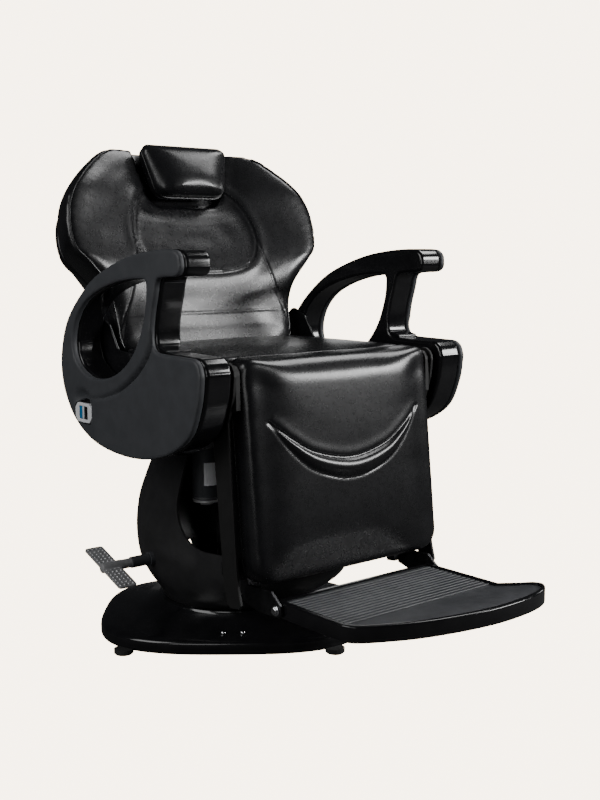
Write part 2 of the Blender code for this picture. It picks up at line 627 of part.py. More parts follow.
def tray_outline(inset=0.0):
    """The tray in plan, with one ear at its front left corner."""
    side = TRAY_SIDE - inset
    front = smooth_run([(-side, -0.600), (-0.196 + inset, -0.622 + inset * 0.6), (-0.160, -0.646 + inset),
                        (-0.090, -0.678 + inset), (0.000, -0.702 + inset), (0.090, -0.714 + inset),
                        (0.180, -0.710 + inset), (0.240, -0.694 + inset * 0.8), (0.272 - inset * 0.9, -0.668 + inset * 0.2),
                        (0.266 - inset, -0.646), (0.240 - inset, -0.630 - inset * 0.3), (side, -0.606)])
    rear = -0.412 - inset
    return [(x, y - TRAY_AXIS[1]) for x, y in [(-side, rear), *front, (side, rear)]]


def build_footrest(paint, frame):
    low, high = TRAY_LOW - TRAY_AXIS[2], TRAY_TOP - TRAY_AXIS[2]
    tray = extruded("footrest_tray", [tray_outline()], "Z", low, high, paint["gloss_black"], frame, 0.0025)
    cut(tray, extruded("tray_dish", [tray_outline(0.009)], "Z", high - 0.006, high + 0.02, None, frame))
    cut(tray, extruded("tray_under", [tray_outline(0.005)], "Z", low - 0.02, high - 0.011, None, frame))
    for name, side in sides():
        cut(tray, rod(f"tray_bore_{name}", 0.005 + GAP, -0.012, 0.012, None, frame, (side * 0.203, 0, 0), "X", 16))
        head = [(0, 0.0235), (0.0075, 0.0230), (0.0085, 0.0215), (0.0085, 0.0170), (0.0050, 0.0170),
                (0.0050, 0.0005), (0.0045, 0), (0, 0)]
        turned(f"tray_bolt_{name}", head, paint["chrome"], frame, (side * 0.1985, 0, 0), outward(side), 16)
    ridge, count, front, back = 0.0115, 14, -0.176, -0.002
    floor, crest = high - 0.006 + GAP, high - 0.0015
    comb = [(back, floor)]
    for step in range(count):
        start = back - 0.008 - ridge * step
        comb += [(start, floor + 0.002), (start - 0.001, crest), (start - 0.003, crest), (start - 0.004, floor + 0.002)]
    comb += [(front, floor + 0.002), (front, floor)]
    comb.insert(1, (back, floor + 0.002))
    extruded("ribbed_mat", [comb], "X", -0.190, 0.190, paint["rubber"], frame)


# ---------------------------------------------------------------- the whole chair
def main():
    start_scene()
    paint = {
        "gloss_black": make_material("gloss_black", (0.012, 0.012, 0.014), 0.18),
        "satin_black": make_material("satin_black", (0.018, 0.018, 0.020), 0.35),
        "matte_black": make_material("matte_black", (0.040, 0.041, 0.044), 0.55),
        "leather": make_material("leather", (0.010, 0.010, 0.012), 0.32),
        "rubber": make_material("rubber", (0.020, 0.020, 0.022), 0.80),
        "chrome": make_material("chrome", (0.80, 0.80, 0.82), 0.10, 1.0),
        "silver": make_material("silver", (0.62, 0.62, 0.63), 0.30, 1.0),
        "steel": make_material("steel", (0.25, 0.25, 0.26), 0.40, 1.0),
        "aluminium": make_material("aluminium", (0.60, 0.61, 0.62), 0.35, 1.0),
        "wood": make_material("wood", (0.45, 0.32, 0.18), 0.70),
        "rocker": make_material("rocker", (0.05, 0.22, 0.55), 0.35),
    }
    base = make_frame("base_frame", (0, 0, 0))
    swivel = make_frame("swivel_axis", (0, 0, 0), parent=base)
    pedals = make_frame("pedal_axis", PEDAL_AXIS, parent=swivel)
    seat = make_frame("seat_slide", (0, 0, 0), parent=swivel)
    y, z = SWITCH_AT
    rocker = make_frame("rocker_axis", (-0.3455, y, z), parent=seat)
    back = make_frame("recline_axis", (0, *recline_axis()), -BACK_TILT, parent=seat)
    headrest = make_frame("headrest_slide", (0, *recline_axis()), -BACK_TILT, parent=seat)
    leg = make_frame("leg_axis", LEG_AXIS, -LEG_TILT, parent=seat)
    tray = make_frame("tray_axis", TRAY_AXIS, parent=seat)
    build_base(paint, base)
    build_column(paint, swivel)
    build_pedals(paint, pedals)
    build_seat(paint, seat)
    build_rocker(paint, rocker)
    build_back(paint, back)
    build_headrest(paint, headrest)
    build_leg_rest(paint, leg)
    build_footrest(paint, tray)
    base.location.y = COLUMN_Y


main()
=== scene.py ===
"""Looks for the barber chair: upholstery, shells, metal and trim over the CAD frame.

Sizes are in metres, measured from the column's axis as in the CAD; PLACE moves them to the frame.
"""

import functools
import json
import math

import bmesh
import bpy
import numpy as np
from mathutils import Matrix, Vector
from mathutils.bvhtree import BVHTree


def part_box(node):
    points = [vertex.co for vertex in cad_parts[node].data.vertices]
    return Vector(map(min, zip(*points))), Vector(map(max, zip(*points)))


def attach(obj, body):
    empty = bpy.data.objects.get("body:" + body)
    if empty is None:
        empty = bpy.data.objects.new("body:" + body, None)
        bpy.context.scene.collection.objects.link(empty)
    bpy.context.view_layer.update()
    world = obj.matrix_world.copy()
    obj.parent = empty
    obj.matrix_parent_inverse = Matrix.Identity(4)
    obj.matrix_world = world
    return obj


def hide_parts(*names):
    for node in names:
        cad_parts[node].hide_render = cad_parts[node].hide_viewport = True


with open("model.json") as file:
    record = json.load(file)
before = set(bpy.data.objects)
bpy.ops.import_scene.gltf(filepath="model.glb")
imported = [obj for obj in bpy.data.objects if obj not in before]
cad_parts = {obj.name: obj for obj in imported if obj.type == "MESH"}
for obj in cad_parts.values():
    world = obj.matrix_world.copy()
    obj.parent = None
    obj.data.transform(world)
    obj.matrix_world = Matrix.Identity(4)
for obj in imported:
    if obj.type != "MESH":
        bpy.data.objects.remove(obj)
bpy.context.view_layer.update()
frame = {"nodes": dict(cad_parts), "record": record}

# ---------------------------------------------------------------- places
ram_low, ram_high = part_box("lift_ram")
COLUMN_Y = (ram_low.y + ram_high.y) / 2
PLACE = Matrix.Translation((0, COLUMN_Y, 0))
BACK_TILT = math.radians(14)
BACK = PLACE @ Matrix.Translation((0, 0.075, 0.65)) @ Matrix.Rotation(-BACK_TILT, 4, "X")
LEG_TILT = math.radians(6)
LEG = PLACE @ Matrix.Translation((0, -0.341, 0.618)) @ Matrix.Rotation(-LEG_TILT, 4, "X")
TRAY = PLACE @ Matrix.Translation((0, -0.425, 0.176))
BASE_TURN = math.radians(-39)
BASE = PLACE @ Matrix.Rotation(BASE_TURN, 4, "Z")
PEDAL = PLACE @ Matrix.Translation((0, 0.045, 0.174))
SIDES = (("right", -1), ("left", 1))


# ---------------------------------------------------------------- materials
class Nodes:
    """Short names for building one material's nodes."""

    def __init__(self, name):
        self.material = bpy.data.materials.new(name)
        self.material.use_nodes = True
        self.tree = self.material.node_tree
        self.shader = self.tree.nodes["Principled BSDF"]
        self.place = self.add("ShaderNodeTexCoord").outputs["Object"]

    def add(self, kind, **values):
        node = self.tree.nodes.new(kind)
        for key, value in values.items():
            if key in node.inputs:
                node.inputs[key].default_value = value
            else:
                setattr(node, key, value)
        return node

    def link(self, source, target):
        self.tree.links.new(source, target)

    def noise(self, scale, detail=3.0, rough=0.5, distort=0.0, stretch=None):
        node = self.add("ShaderNodeTexNoise", Scale=scale, Detail=detail, Roughness=rough, Distortion=distort)
        source = self.place
        if stretch:
            mapping = self.add("ShaderNodeMapping", Scale=stretch)
            self.link(source, mapping.inputs["Vector"])
            source = mapping.outputs["Vector"]
        self.link(source, node.inputs["Vector"])
        return node.outputs["Fac"]

    def cells(self, scale, feature="F1"):
        node = self.add("ShaderNodeTexVoronoi", Scale=scale, feature=feature)
        self.link(self.place, node.inputs["Vector"])
        return node.outputs["Distance"]

    def ramp(self, source, low, high, start=0.0, end=1.0):
        """Map source, between start and end, on to low..high."""
        ends = {"From Min": start, "From Max": end, "To Min": low, "To Max": high}
        node = self.add("ShaderNodeMapRange", **ends)
        self.link(source, node.inputs["Value"])
        return node.outputs["Result"]

    def colour(self, source, first, second, start=0.35, end=0.65):
        node = self.add("ShaderNodeMix", data_type="RGBA")
        node.inputs["A"].default_value = (*first, 1.0)
        node.inputs["B"].default_value = (*second, 1.0)
        self.link(self.ramp(source, 0.0, 1.0, start, end), node.inputs["Factor"])
        self.link(node.outputs["Result"], self.shader.inputs["Base Color"])

    def rough(self, source, low, high, start=0.3, end=0.7):
        self.link(self.ramp(source, low, high, start, end), self.shader.inputs["Roughness"])

    def bump(self, source, depth, below=None):
        """Raise the surface by depth in metres where source is 1. Returns the normal."""
        node = self.add("ShaderNodeBump", Strength=1.0, Distance=depth)
        self.link(source, node.inputs["Height"])
        if below is not None:
            self.link(below, node.inputs["Normal"])
        return node.outputs["Normal"]

    def finish(self, normal=None, **values):
        if normal is not None:
            self.link(normal, self.shader.inputs["Normal"])
        for key, value in values.items():
            self.shader.inputs[key.replace("_", " ")].default_value = value
        return self.material


def leather_material():
    made = Nodes("leather_black")
    creases = made.cells(420.0, "DISTANCE_TO_EDGE")
    grain = made.cells(900.0)
    folds = made.noise(70.0, 5.0, 0.62, 0.8)
    normal = made.bump(made.noise(7.0, 2.0), 0.001)
    normal = made.bump(folds, 0.00012, normal)
    normal = made.bump(made.ramp(creases, 0.0, 1.0, 0.0, 0.22), 0.000018, normal)
    normal = made.bump(grain, 0.00001, normal)
    made.colour(made.noise(18.0, 4.0), (0.0065, 0.0066, 0.0075), (0.0115, 0.0117, 0.013))
    made.rough(made.noise(110.0, 6.0, 0.65), 0.26, 0.3)
    return made.finish(normal, Specular_IOR_Level=0.6)


def plastic_material(name, dark, light, rough, ripple, grain=0.0, coat=0.0, grain_scale=900.0):
    """Moulded or painted plastic: slight ripple, fine grain, a little uneven gloss."""
    made = Nodes(name)
    normal = made.bump(made.noise(14.0, 2.0), ripple)
    if grain:
        normal = made.bump(made.noise(grain_scale, 4.0, 0.6), grain, normal)
    made.colour(made.noise(26.0, 5.0, 0.6), dark, light)
    made.rough(made.noise(45.0, 6.0, 0.68), *rough)
    return made.finish(normal, Coat_Weight=coat, Coat_Roughness=0.06)


def metal_material(name, dark, light, rough, scratch, stretch=(1.0, 1.0, 1.0), scale=240.0, metallic=1.0):
    """Plated or bare metal, with fine marks along one direction."""
    made = Nodes(name)
    marks = made.noise(scale, 6.0, 0.7, 0.2, stretch)
    normal = made.bump(marks, scratch)
    made.colour(made.noise(30.0, 5.0, 0.65), dark, light)
    made.rough(marks, *rough)
    return made.finish(normal, Metallic=metallic)


def wood_material():
    made = Nodes("plywood")
    grain = made.noise(30.0, 6.0, 0.6, 0.8, (1.0, 9.0, 9.0))
    made.colour(grain, (0.01, 0.009, 0.008), (0.022, 0.019, 0.016), 0.3, 0.7)
    made.rough(grain, 0.55, 0.75)
    return made.finish(made.bump(grain, 0.0002))


# Dark and light colour, roughness, ripple height, then grain height, coat and grain scale.
PLASTICS = {
    "gloss_black": ((0.006, 0.006, 0.007), (0.01, 0.01, 0.011), (0.13, 0.2), 0.0004, 0.00002, 0.3),
    "satin_black": ((0.02, 0.02, 0.021), (0.027, 0.027, 0.028), (0.36, 0.46), 0.0004, 0.00003),
    "matte_black": ((0.046, 0.049, 0.054), (0.056, 0.059, 0.065), (0.5, 0.6), 0.0003, 0.00007, 0.0, 1400.0),
    "tray_mat": ((0.04, 0.042, 0.046), (0.058, 0.06, 0.066), (0.34, 0.44), 0.0003, 0.00006, 0.0, 1200.0),
    # dull_black is darker than satin_black: painted shade for the leg rest's frame in the gap beside the calf
    # pad.
    "dull_black": ((0.006, 0.006, 0.006), (0.009, 0.009, 0.009), (0.55, 0.65), 0.0003, 0.00004),
    "rubber": ((0.012, 0.012, 0.012), (0.022, 0.022, 0.022), (0.7, 0.85), 0.0003, 0.0001),
    "rocker_blue": ((0.02, 0.16, 0.34), (0.03, 0.2, 0.42), (0.2, 0.3), 0.0001),
    "bright_trim": ((0.84, 0.85, 0.87), (0.92, 0.93, 0.95), (0.18, 0.26), 0.0001, 0.0, 0.5),
    "rocker_white": ((0.62, 0.64, 0.66), (0.72, 0.73, 0.75), (0.25, 0.35), 0.0001),
    "thread": ((0.02, 0.02, 0.022), (0.04, 0.04, 0.044), (0.45, 0.6), 0.0001),
}


def make_materials():
    plastics = {name: plastic_material(name, *values) for name, values in PLASTICS.items()}
    return {
        **plastics,
        "leather": leather_material(),
        "chrome": metal_material("chrome", (0.78, 0.79, 0.81), (0.86, 0.86, 0.88), (0.06, 0.13), 0.00001),
        "silver": metal_material("silver", (0.52, 0.53, 0.54), (0.7, 0.7, 0.71), (0.26, 0.42), 0.00006,
                                 (1.0, 6.0, 6.0), 240.0, 0.62),
        "steel": metal_material("dark_steel", (0.055, 0.055, 0.058), (0.1, 0.1, 0.105), (0.34, 0.48), 0.00005,
                                (1.0, 5.0, 5.0)),
        "aluminium": metal_material("cast_aluminium", (0.42, 0.43, 0.44), (0.56, 0.57, 0.58), (0.38, 0.55),
                                    0.0002, (1.0, 1.0, 1.0), 500.0),
        "wood": wood_material(),
    }


# ---------------------------------------------------------------- mesh helpers
def link(thing):
    bpy.context.scene.collection.objects.link(thing)


def solved(thing):
    """The object as its modifiers leave it."""
    return thing.evaluated_get(bpy.context.evaluated_depsgraph_get())


def add_piece(name, mesh, material, body, replaces=(), angle=35):
    """A shown piece that rides on a body. Its one slot holds the given material."""
    mesh.name = name
    mesh.materials.clear()
    mesh.materials.append(PAINT[material])
    mesh.shade_smooth()
    if angle:
        mesh.set_sharp_from_angle(angle=math.radians(angle))
    piece = bpy.data.objects.new(name, mesh)
    link(piece)
    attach(piece, body)
    if replaces:
        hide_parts(*replaces)
    return piece


def mesh_of(verts, faces, place=None):
    mesh = bpy.data.meshes.new("mesh")
    mesh.from_pydata([tuple(v) for v in verts], [], [tuple(f) for f in faces])
    if place is not None:
        mesh.transform(place)
    form = bmesh.new()
    form.from_mesh(mesh)
    bmesh.ops.recalc_face_normals(form, faces=form.faces)
    form.to_mesh(mesh)
    form.free()
    return mesh


def loft(rings, closed=True, loop=False):
    """Skin over rings of points, capped at both ends if closed, or joined end to end if loop."""
    count = len(rings[0])
    verts = [point for ring in rings for point in ring]
    faces = []
    for row in range(len(rings) if loop else len(rings) - 1):
        over = (row + 1) % len(rings) * count
        for here in range(count):
            after = (here + 1) % count
            faces.append((row * count + here, row * count + after, over + after, over + here))
    if closed and not loop:
        faces.append(tuple(reversed(range(count))))
        faces.append(tuple(range((len(rings) - 1) * count, len(rings) * count)))
    return verts, faces


def merged(solids):
    """One (verts, faces) pair from several."""
    verts, faces = [], []
    for points, sides in solids:
        base = len(verts)
        verts += points
        faces += [tuple(base + k for k in side) for side in sides]
    return verts, faces


def joined(mesh, *others):
    """Several meshes in the first one."""
    form = bmesh.new()
    for part in (mesh, *others):
        form.from_mesh(part)
    form.to_mesh(mesh)
    form.free()
    return mesh


def ring_round(centre, across, over, radius, sides):
    """Points on a circle about centre, in the plane of across and over."""
    turns = [2 * math.pi * k / sides for k in range(sides)]
    return [centre + (across * math.cos(a) + over * math.sin(a)) * radius for a in turns]


def drawn_in(point, centre, scale):
    """A flat point moved toward a centre."""
    return tuple(c + (p - c) * scale for p, c in zip(point, centre))


def super_ring(half_x, half_y, power, height, shift=0.0, count=96):
    ring = []
    for step in range(count):
        angle = 2 * math.pi * step / count
        across, along = math.cos(angle), math.sin(angle)
        x = half_x * math.copysign(abs(across) ** (2 / power), across)
        y = half_y * math.copysign(abs(along) ** (2 / power), along)
        ring.append((x, y + shift, height))
    return ring


def smooth_run(points, per_span=4, cyclic=False):
    """A smooth curve through the points, of any number of dimensions."""
    points = [np.array(p, float) for p in points]
    count = len(points)
    found = []
    for here in range(count if cyclic else count - 1):
        if cyclic:
            before, start, end, after = (points[(here + k) % count] for k in (-1, 0, 1, 2))
        else:
            before, start, end, after = (points[min(max(here + k, 0), count - 1)] for k in (-1, 0, 1, 2))
        for step in range(per_span):
            t = step / per_span
            bend = 2 * start + (end - before) * t
            bend = bend + (2 * before - 5 * start + 4 * end - after) * t * t
            bend = bend + (3 * start - before - 3 * end + after) * t * t * t
            found.append(tuple(bend / 2))
    if not cyclic:
        found.append(tuple(points[-1]))
    return found


def rounded(corners, radii, count=8):
    """A convex outline with rounded corners, listed anticlockwise."""
    found = []
    if not hasattr(radii, "__len__"):
        radii = [radii] * len(corners)
    for here, (corner, radius) in enumerate(zip(corners, radii)):
        corner = Vector(corner)
        to_last = (Vector(corners[here - 1]) - corner).normalized()
        to_next = (Vector(corners[(here + 1) % len(corners)]) - corner).normalized()
        half = to_last.angle(to_next) / 2
        centre = corner + (to_last + to_next).normalized() * radius / math.sin(half)
        start = corner + to_last * radius / math.tan(half) - centre
        end = corner + to_next * radius / math.tan(half) - centre
        first = math.atan2(start.y, start.x)
        swing = (math.atan2(end.y, end.x) - first + math.pi) % (2 * math.pi) - math.pi
        for step in range(count):
            angle = first + swing * step / (count - 1)
            found.append((centre.x + radius * math.cos(angle), centre.y + radius * math.sin(angle)))
    return found


PLANES = {
    "X": Matrix(((0, 0, 1), (1, 0, 0), (0, 1, 0))),
    "Y": Matrix(((1, 0, 0), (0, 0, -1), (0, 1, 0))),
    "Z": Matrix.Identity(3),
}


def extruded(outlines, plane, low, high, edge=0.0, place=PLACE, segments=3):
    """A flat outline, with holes if more than one is given, made thick, with round edges."""
    curve = bpy.data.curves.new("outline", "CURVE")
    curve.dimensions = "2D"
    curve.fill_mode = "BOTH"
    curve.extrude = (high - low) / 2 - edge
    curve.bevel_depth = edge
    curve.bevel_resolution = segments
    curve.offset = -edge
    for outline in outlines:
        spline = curve.splines.new("POLY")
        spline.points.add(len(outline) - 1)
        spline.use_cyclic_u = True
        for point, (first, second) in zip(spline.points, outline):
            point.co = (first, second, 0.0, 1.0)
    guide = bpy.data.objects.new("guide", curve)
    link(guide)
    mesh = bpy.data.meshes.new_from_object(solved(guide))
    bpy.data.objects.remove(guide, do_unlink=True)
    bpy.data.curves.remove(curve)
    turn = PLANES[plane]
    middle = turn @ Vector((0.0, 0.0, (high + low) / 2 if plane != "Y" else -(high + low) / 2))
    form = bmesh.new()
    form.from_mesh(mesh)
    bmesh.ops.remove_doubles(form, verts=form.verts, dist=0.00001)
    bmesh.ops.transform(form, matrix=place @ Matrix.Translation(middle) @ turn.to_4x4(), verts=form.verts)
    bmesh.ops.recalc_face_normals(form, faces=form.faces)
    form.to_mesh(mesh)
    form.free()
    return mesh


def turned(profile, place, steps=48):
    """A turned piece from its (radius, height) profile, listed from the top down, about local Z."""
    rings = []
    turns = [2 * math.pi * k / steps for k in range(steps)]
    for radius, height in profile:
        radius = max(radius, 0.00002)
        rings.append([(radius * math.cos(a), radius * math.sin(a), height) for a in turns])
    verts, faces = loft(rings)
    return mesh_of(verts, faces, place)


def evaluated_mesh(mesh, *modifiers):
    """The mesh with modifiers applied. Each is (type, {setting: value})."""
    holder = bpy.data.objects.new("holder", mesh)
    link(holder)
    for kind, settings in modifiers:
        change = holder.modifiers.new(kind.lower(), kind)
        for key, value in settings.items():
            setattr(change, key, value)
    bpy.context.view_layer.update()
    made = bpy.data.meshes.new_from_object(solved(holder))
    bpy.data.objects.remove(holder, do_unlink=True)
    return made


def cut_mesh(mesh, *cutters, operation="DIFFERENCE"):
    for cutter_mesh in cutters:
        cutter = bpy.data.objects.new("cutter", cutter_mesh)
        link(cutter)
        mesh = evaluated_mesh(mesh, ("BOOLEAN", {"operation": operation, "object": cutter}))
        bpy.data.objects.remove(cutter, do_unlink=True)
    return mesh


def box_mesh(low, high, place=PLACE):
    ends = (high, low)
    corners = [(ends[k & 1][0], ends[k >> 1 & 1][1], ends[k >> 2][2]) for k in range(8)]
    faces = [(0, 1, 3, 2), (4, 6, 7, 5), (0, 4, 5, 1), (2, 3, 7, 6), (0, 2, 6, 4), (1, 5, 7, 3)]
    return mesh_of(corners, faces, place)


def polish(piece, width=0.0015, segments=3, angle=32):
    """Round the sharp edges a little, and shade the flat faces as flat."""
    bevel = piece.modifiers.new("edges", "BEVEL")
    bevel.width = width
    bevel.segments = segments
    bevel.limit_method = "ANGLE"
    bevel.angle_limit = math.radians(angle)
    bevel.harden_normals = True
    return piece


def weigh_normals(piece):
    weigh = piece.modifiers.new("normals", "WEIGHTED_NORMAL")
    weigh.keep_sharp = True
    return piece


def points_of(mesh):
    found = np.empty(len(mesh.vertices) * 3, np.float32)
    mesh.vertices.foreach_get("co", found)
    return found.reshape(-1, 3).astype(float)


def set_points(mesh, points):
    mesh.vertices.foreach_set("co", points.astype(np.float32).ravel())
    mesh.update()


def local_points(points, place):
    inverse = np.array(place.inverted())
    return points @ inverse[:3, :3].T + inverse[:3, 3]


def world_points(points, place):
    matrix = np.array(place)
    return points @ matrix[:3, :3].T + matrix[:3, 3]


# ---------------------------------------------------------------- upholstery
# Length of the filling simulation, in frames.
FRAMES = 20


def evened(mesh, values, rounds):
    """Average a value of each vertex with its neighbours' values, some number of times."""
    ends = np.empty(len(mesh.edges) * 2, np.int32)
    mesh.edges.foreach_get("vertices", ends)
    first, second = ends.reshape(-1, 2).T
    count = np.bincount(ends, minlength=len(values))[:, None]
    for _ in range(rounds):
        total = np.zeros_like(values)
        for column in range(values.shape[1]):
            total[:, column] = np.bincount(first, values[second, column], len(values))
            total[:, column] += np.bincount(second, values[first, column], len(values))
        values = 0.5 * values + 0.5 * total / count
    return values


def swell(mesh, voxel, cap, place, pinned, pressure=4.0, stiffness=12.0, even=16):
    """Remesh a cushion, fill it by a cloth simulation and keep the result, with one subdivision."""
    mesh = evaluated_mesh(mesh, ("REMESH", {"mode": "VOXEL", "voxel_size": voxel}),
                          ("SMOOTH", {"factor": 0.5, "iterations": 5}))
    start = points_of(mesh)
    holder = bpy.data.objects.new("holder", mesh)
    link(holder)
    group = holder.vertex_groups.new(name="pinned")
    held = pinned(local_points(start, place))
    group.add([int(index) for index in np.nonzero(held)[0]], 1.0, "REPLACE")
    cloth = holder.modifiers.new("cloth", "CLOTH")
    ways = {"quality": 5, "mass": 0.4, "tension_stiffness": stiffness, "compression_stiffness": stiffness,
            "shear_stiffness": stiffness / 2, "bending_stiffness": 0.6, "use_pressure": True,
            "uniform_pressure_force": pressure, "vertex_group_mass": "pinned"}
    for key, value in ways.items():
        setattr(cloth.settings, key, value)
    cloth.settings.effector_weights.gravity = 0.0
    cloth.collision_settings.use_collision = False
    cloth.point_cache.frame_start = 1
    cloth.point_cache.frame_end = FRAMES
    for step in range(1, FRAMES + 1):
        bpy.context.scene.frame_set(step)
    swollen = solved(holder).to_mesh()
    end = points_of(swollen)
    solved(holder).to_mesh_clear()
    bpy.data.objects.remove(holder, do_unlink=True)
    bpy.context.scene.frame_set(1)
    move = evened(mesh, end - start, even)
    far = np.linalg.norm(move, axis=1)
    move *= (cap * np.tanh(far / cap) / np.maximum(far, 1e-9))[:, None]
    set_points(mesh, start + move)
    return evaluated_mesh(mesh, ("SUBSURF", {"levels": 1, "render_levels": 1}))


def line_distance(points, line):
    """Distance in a plane from each point to a polyline."""
    line = np.array(line, float)
    best = np.full(len(points), 9.0)
    for first, second in zip(line, line[1:]):
        along = second - first
        t = np.clip(((points - first) @ along) / max(along @ along, 1e-12), 0, 1)
        best = np.minimum(best, np.linalg.norm(points - first - t[:, None] * along, axis=1))
    return best


def inside(points, outline):
    """Whether each point lies inside a closed outline."""
    outline = np.array(outline, float)
    found = np.zeros(len(points), bool)
    for first, second in zip(outline, np.roll(outline, -1, axis=0)):
        crosses = (first[1] > points[:, 1]) != (second[1] > points[:, 1])
        at = first[0] + (points[:, 1] - first[1]) * (second[0] - first[0]) / (second[1] - first[1] + 1e-12)
        found ^= crosses & (points[:, 0] < at)
    return found


def vertex_normals(mesh):
    found = np.empty(len(mesh.vertices) * 3, np.float32)
    mesh.vertex_normals.foreach_get("vector", found)
    return found.reshape(-1, 3).astype(float)


def press(mesh, place, lines, depth, width):
    """Sink narrow sewn channels along lines drawn on the cushion's front."""
    points = points_of(mesh)
    local = local_points(points, place)
    normals = vertex_normals(mesh)
    outward = np.array(place.to_3x3() @ Vector((0, -1, 0)))
    near = np.full(len(points), 9.0)
    for line in lines:
        near = np.minimum(near, line_distance(local[:, [0, 2]], line))
    weight = np.exp(-((near / width) ** 2)) * np.clip((normals @ outward - 0.1) / 0.4, 0, 1)
    set_points(mesh, points - normals * (depth * weight)[:, None])


class Skin:
    """Finds points on a finished cushion, for what is sewn on it."""

    def __init__(self, mesh):
        mesh.calc_loop_triangles()
        verts = [v.co.copy() for v in mesh.vertices]
        self.tree = BVHTree.FromPolygons(verts, [tuple(t.vertices) for t in mesh.loop_triangles])

    def above(self, spots, lift):
        """The points nearest to some spots, moved off the surface by lift."""
        found = [self.tree.find_nearest(spot) for spot in spots]
        return [point + normal * lift for point, normal, _, _ in found]

    def seam(self, place, line):
        """(point, normal) pairs where a line drawn in front of the cushion falls on it."""
        back = place.to_3x3() @ Vector((0, 1, 0))
        found = [self.tree.ray_cast(place @ Vector((x, -0.3, up)), back) for x, up in line]
        return [(point, normal) for point, normal, _, _ in found if point]


# Each ring of a stitch: share of its length, share of its radius, height in radii.
STITCH = ((0, 0.5, -0.6), (0.2, 1.0, 0.5), (0.8, 1.0, 0.5), (1.0, 0.5, -0.6))


def stitches(name, path, body, pitch=0.0042, length=0.003, radius=0.00045):
    """A row of thread stitches along (point, normal) pairs."""
    points = [p for p, _ in path]
    gone = [0.0]
    for first, second in zip(points, points[1:]):
        gone.append(gone[-1] + (second - first).length)

    def at(distance):
        here = max(k for k in range(len(gone)) if gone[k] <= distance or k == 0)
        here = min(here, len(points) - 2)
        t = (distance - gone[here]) / max(gone[here + 1] - gone[here], 1e-9)
        return points[here].lerp(points[here + 1], t), path[here][1]

    solids = []
    for number in range(int(gone[-1] / pitch)):
        first, normal = at(number * pitch)
        second, _ = at(number * pitch + length)
        across = (second - first).normalized().cross(normal).normalized()
        rings = [ring_round(first.lerp(second, t) + normal * radius * up, across, normal, radius * wide, 5)
                 for t, wide, up in STITCH]
        solids.append(loft(rings))
    add_piece(name, mesh_of(*merged(solids)), "thread", body, angle=0)


def piping(name, points, body, radius, cyclic=False):
    """A round sewn edge along points."""
    count = len(points)
    up = Vector((0.13, 0.27, 0.95))
    rings = []
    for here, point in enumerate(points):
        before = points[here - 1] if cyclic or here else point
        after = points[(here + 1) % count] if cyclic or here < count - 1 else point
        along = (after - before).normalized()
        across = along.cross(up).normalized()
        rings.append(ring_round(point, across, across.cross(along), radius, 10))
    add_piece(name, mesh_of(*loft(rings, True, cyclic)), "leather", body, angle=0)


def cushion(name, mesh, body, node):
    piece = add_piece(name, mesh, "leather", body, (node,), angle=0)
    return piece


def build_seat_cushion():
    outline = rounded([(-0.258, -0.298), (0.258, -0.298), (0.258, 0.042), (-0.258, 0.042)], 0.03, 10)
    levels = ((0.577, 0.95), (0.5775, 0.985), (0.586, 1.0), (0.626, 1.0), (0.6365, 0.992), (0.642, 0.978),
              (0.6445, 0.955), (0.6465, 0.85), (0.648, 0.6), (0.6485, 0.3), (0.6485, 0.05))
    rings = [[(*drawn_in(p, (0.0, -0.128), scale), z) for p in outline] for z, scale in levels]
    mesh = mesh_of(*loft(rings), PLACE)

    def held(local):
        low = local[:, 2] < 0.585
        rim = (np.abs(local[:, 2] - 0.6385) < 0.005) & (np.abs(local[:, 0]) > 0.248)
        front = (np.abs(local[:, 2] - 0.6385) < 0.005) & (local[:, 1] < -0.288)
        return low | rim | front

    mesh = swell(mesh, 0.0062, 0.009, PLACE, held)
    skin = Skin(mesh)
    cushion("seat_upholstery", mesh, "seat", "seat_cushion")
    edge = rounded([(-0.2575, -0.2985), (0.2575, -0.2985), (0.2575, 0.042), (-0.2575, 0.042)], 0.03, 10)
    path = skin.above([PLACE @ Vector((x, y, 0.6415)) for x, y in edge], 0.0)
    path = [point + Vector((0, 0, 0.0006)) for point in path]
    piping("seat_piping", path, "seat", 0.0026, True)


def back_half():
    """The back's outline on its +X side, from its bottom to its top."""
    return smooth_run([(0.205, -0.035), (0.236, -0.01), (0.241, 0.03), (0.246, 0.08), (0.262, 0.125),
                       (0.3, 0.168), (0.33, 0.2), (0.338, 0.24), (0.334, 0.29), (0.318, 0.33),
                       (0.29, 0.366), (0.25, 0.402), (0.208, 0.43), (0.15, 0.442), (0.06, 0.443),
                       (0.0, 0.443)], 5)


def back_outline(inset, wing=0.0, lower=0.0):
    """The back's whole outline, drawn in by inset, by wing more across its wings, and up by lower."""
    half = []
    for x, s in back_half():
        narrow = inset + wing * min(max((s - 0.12) / 0.06, 0), 1)
        drop = (inset + wing / 2) * min(max((s - 0.2) / 0.15, 0), 1)
        half.append((max(x - narrow, 0.0), max(s, lower - 0.035) - drop))
    return half + [(-x, s) for x, s in reversed(half[:-1])]


def build_back_rear():
    """The upholstered edge of the board, and the moulded shell that closes the back."""
    border = extruded([back_outline(0.0262, 0.0, 0.003)], "Y", 0.0725, 0.0874, 0.003, BACK, 3)
    add_piece("back_border", border, "leather", "back", (), 50)
    shell = extruded([back_outline(0.026, 0.018, 0.011)], "Y", 0.0875, 0.125, 0.014, BACK, 5)
    hollow = extruded([back_outline(0.032, 0.018, -0.025)], "Y", 0.0775, 0.12, 0.0, BACK)
    shell = cut_mesh(shell, hollow, box_mesh((-0.024, 0.086, 0.36), (0.024, 0.1085, 0.47), BACK))
    weigh_normals(add_piece("rear_shell", shell, "satin_black", "back", ("back_shell",), 40))


def ease(value, start, end):
    t = min(max((value - start) / (end - start), 0.0), 1.0)
    return t * t * (3 - 2 * t)


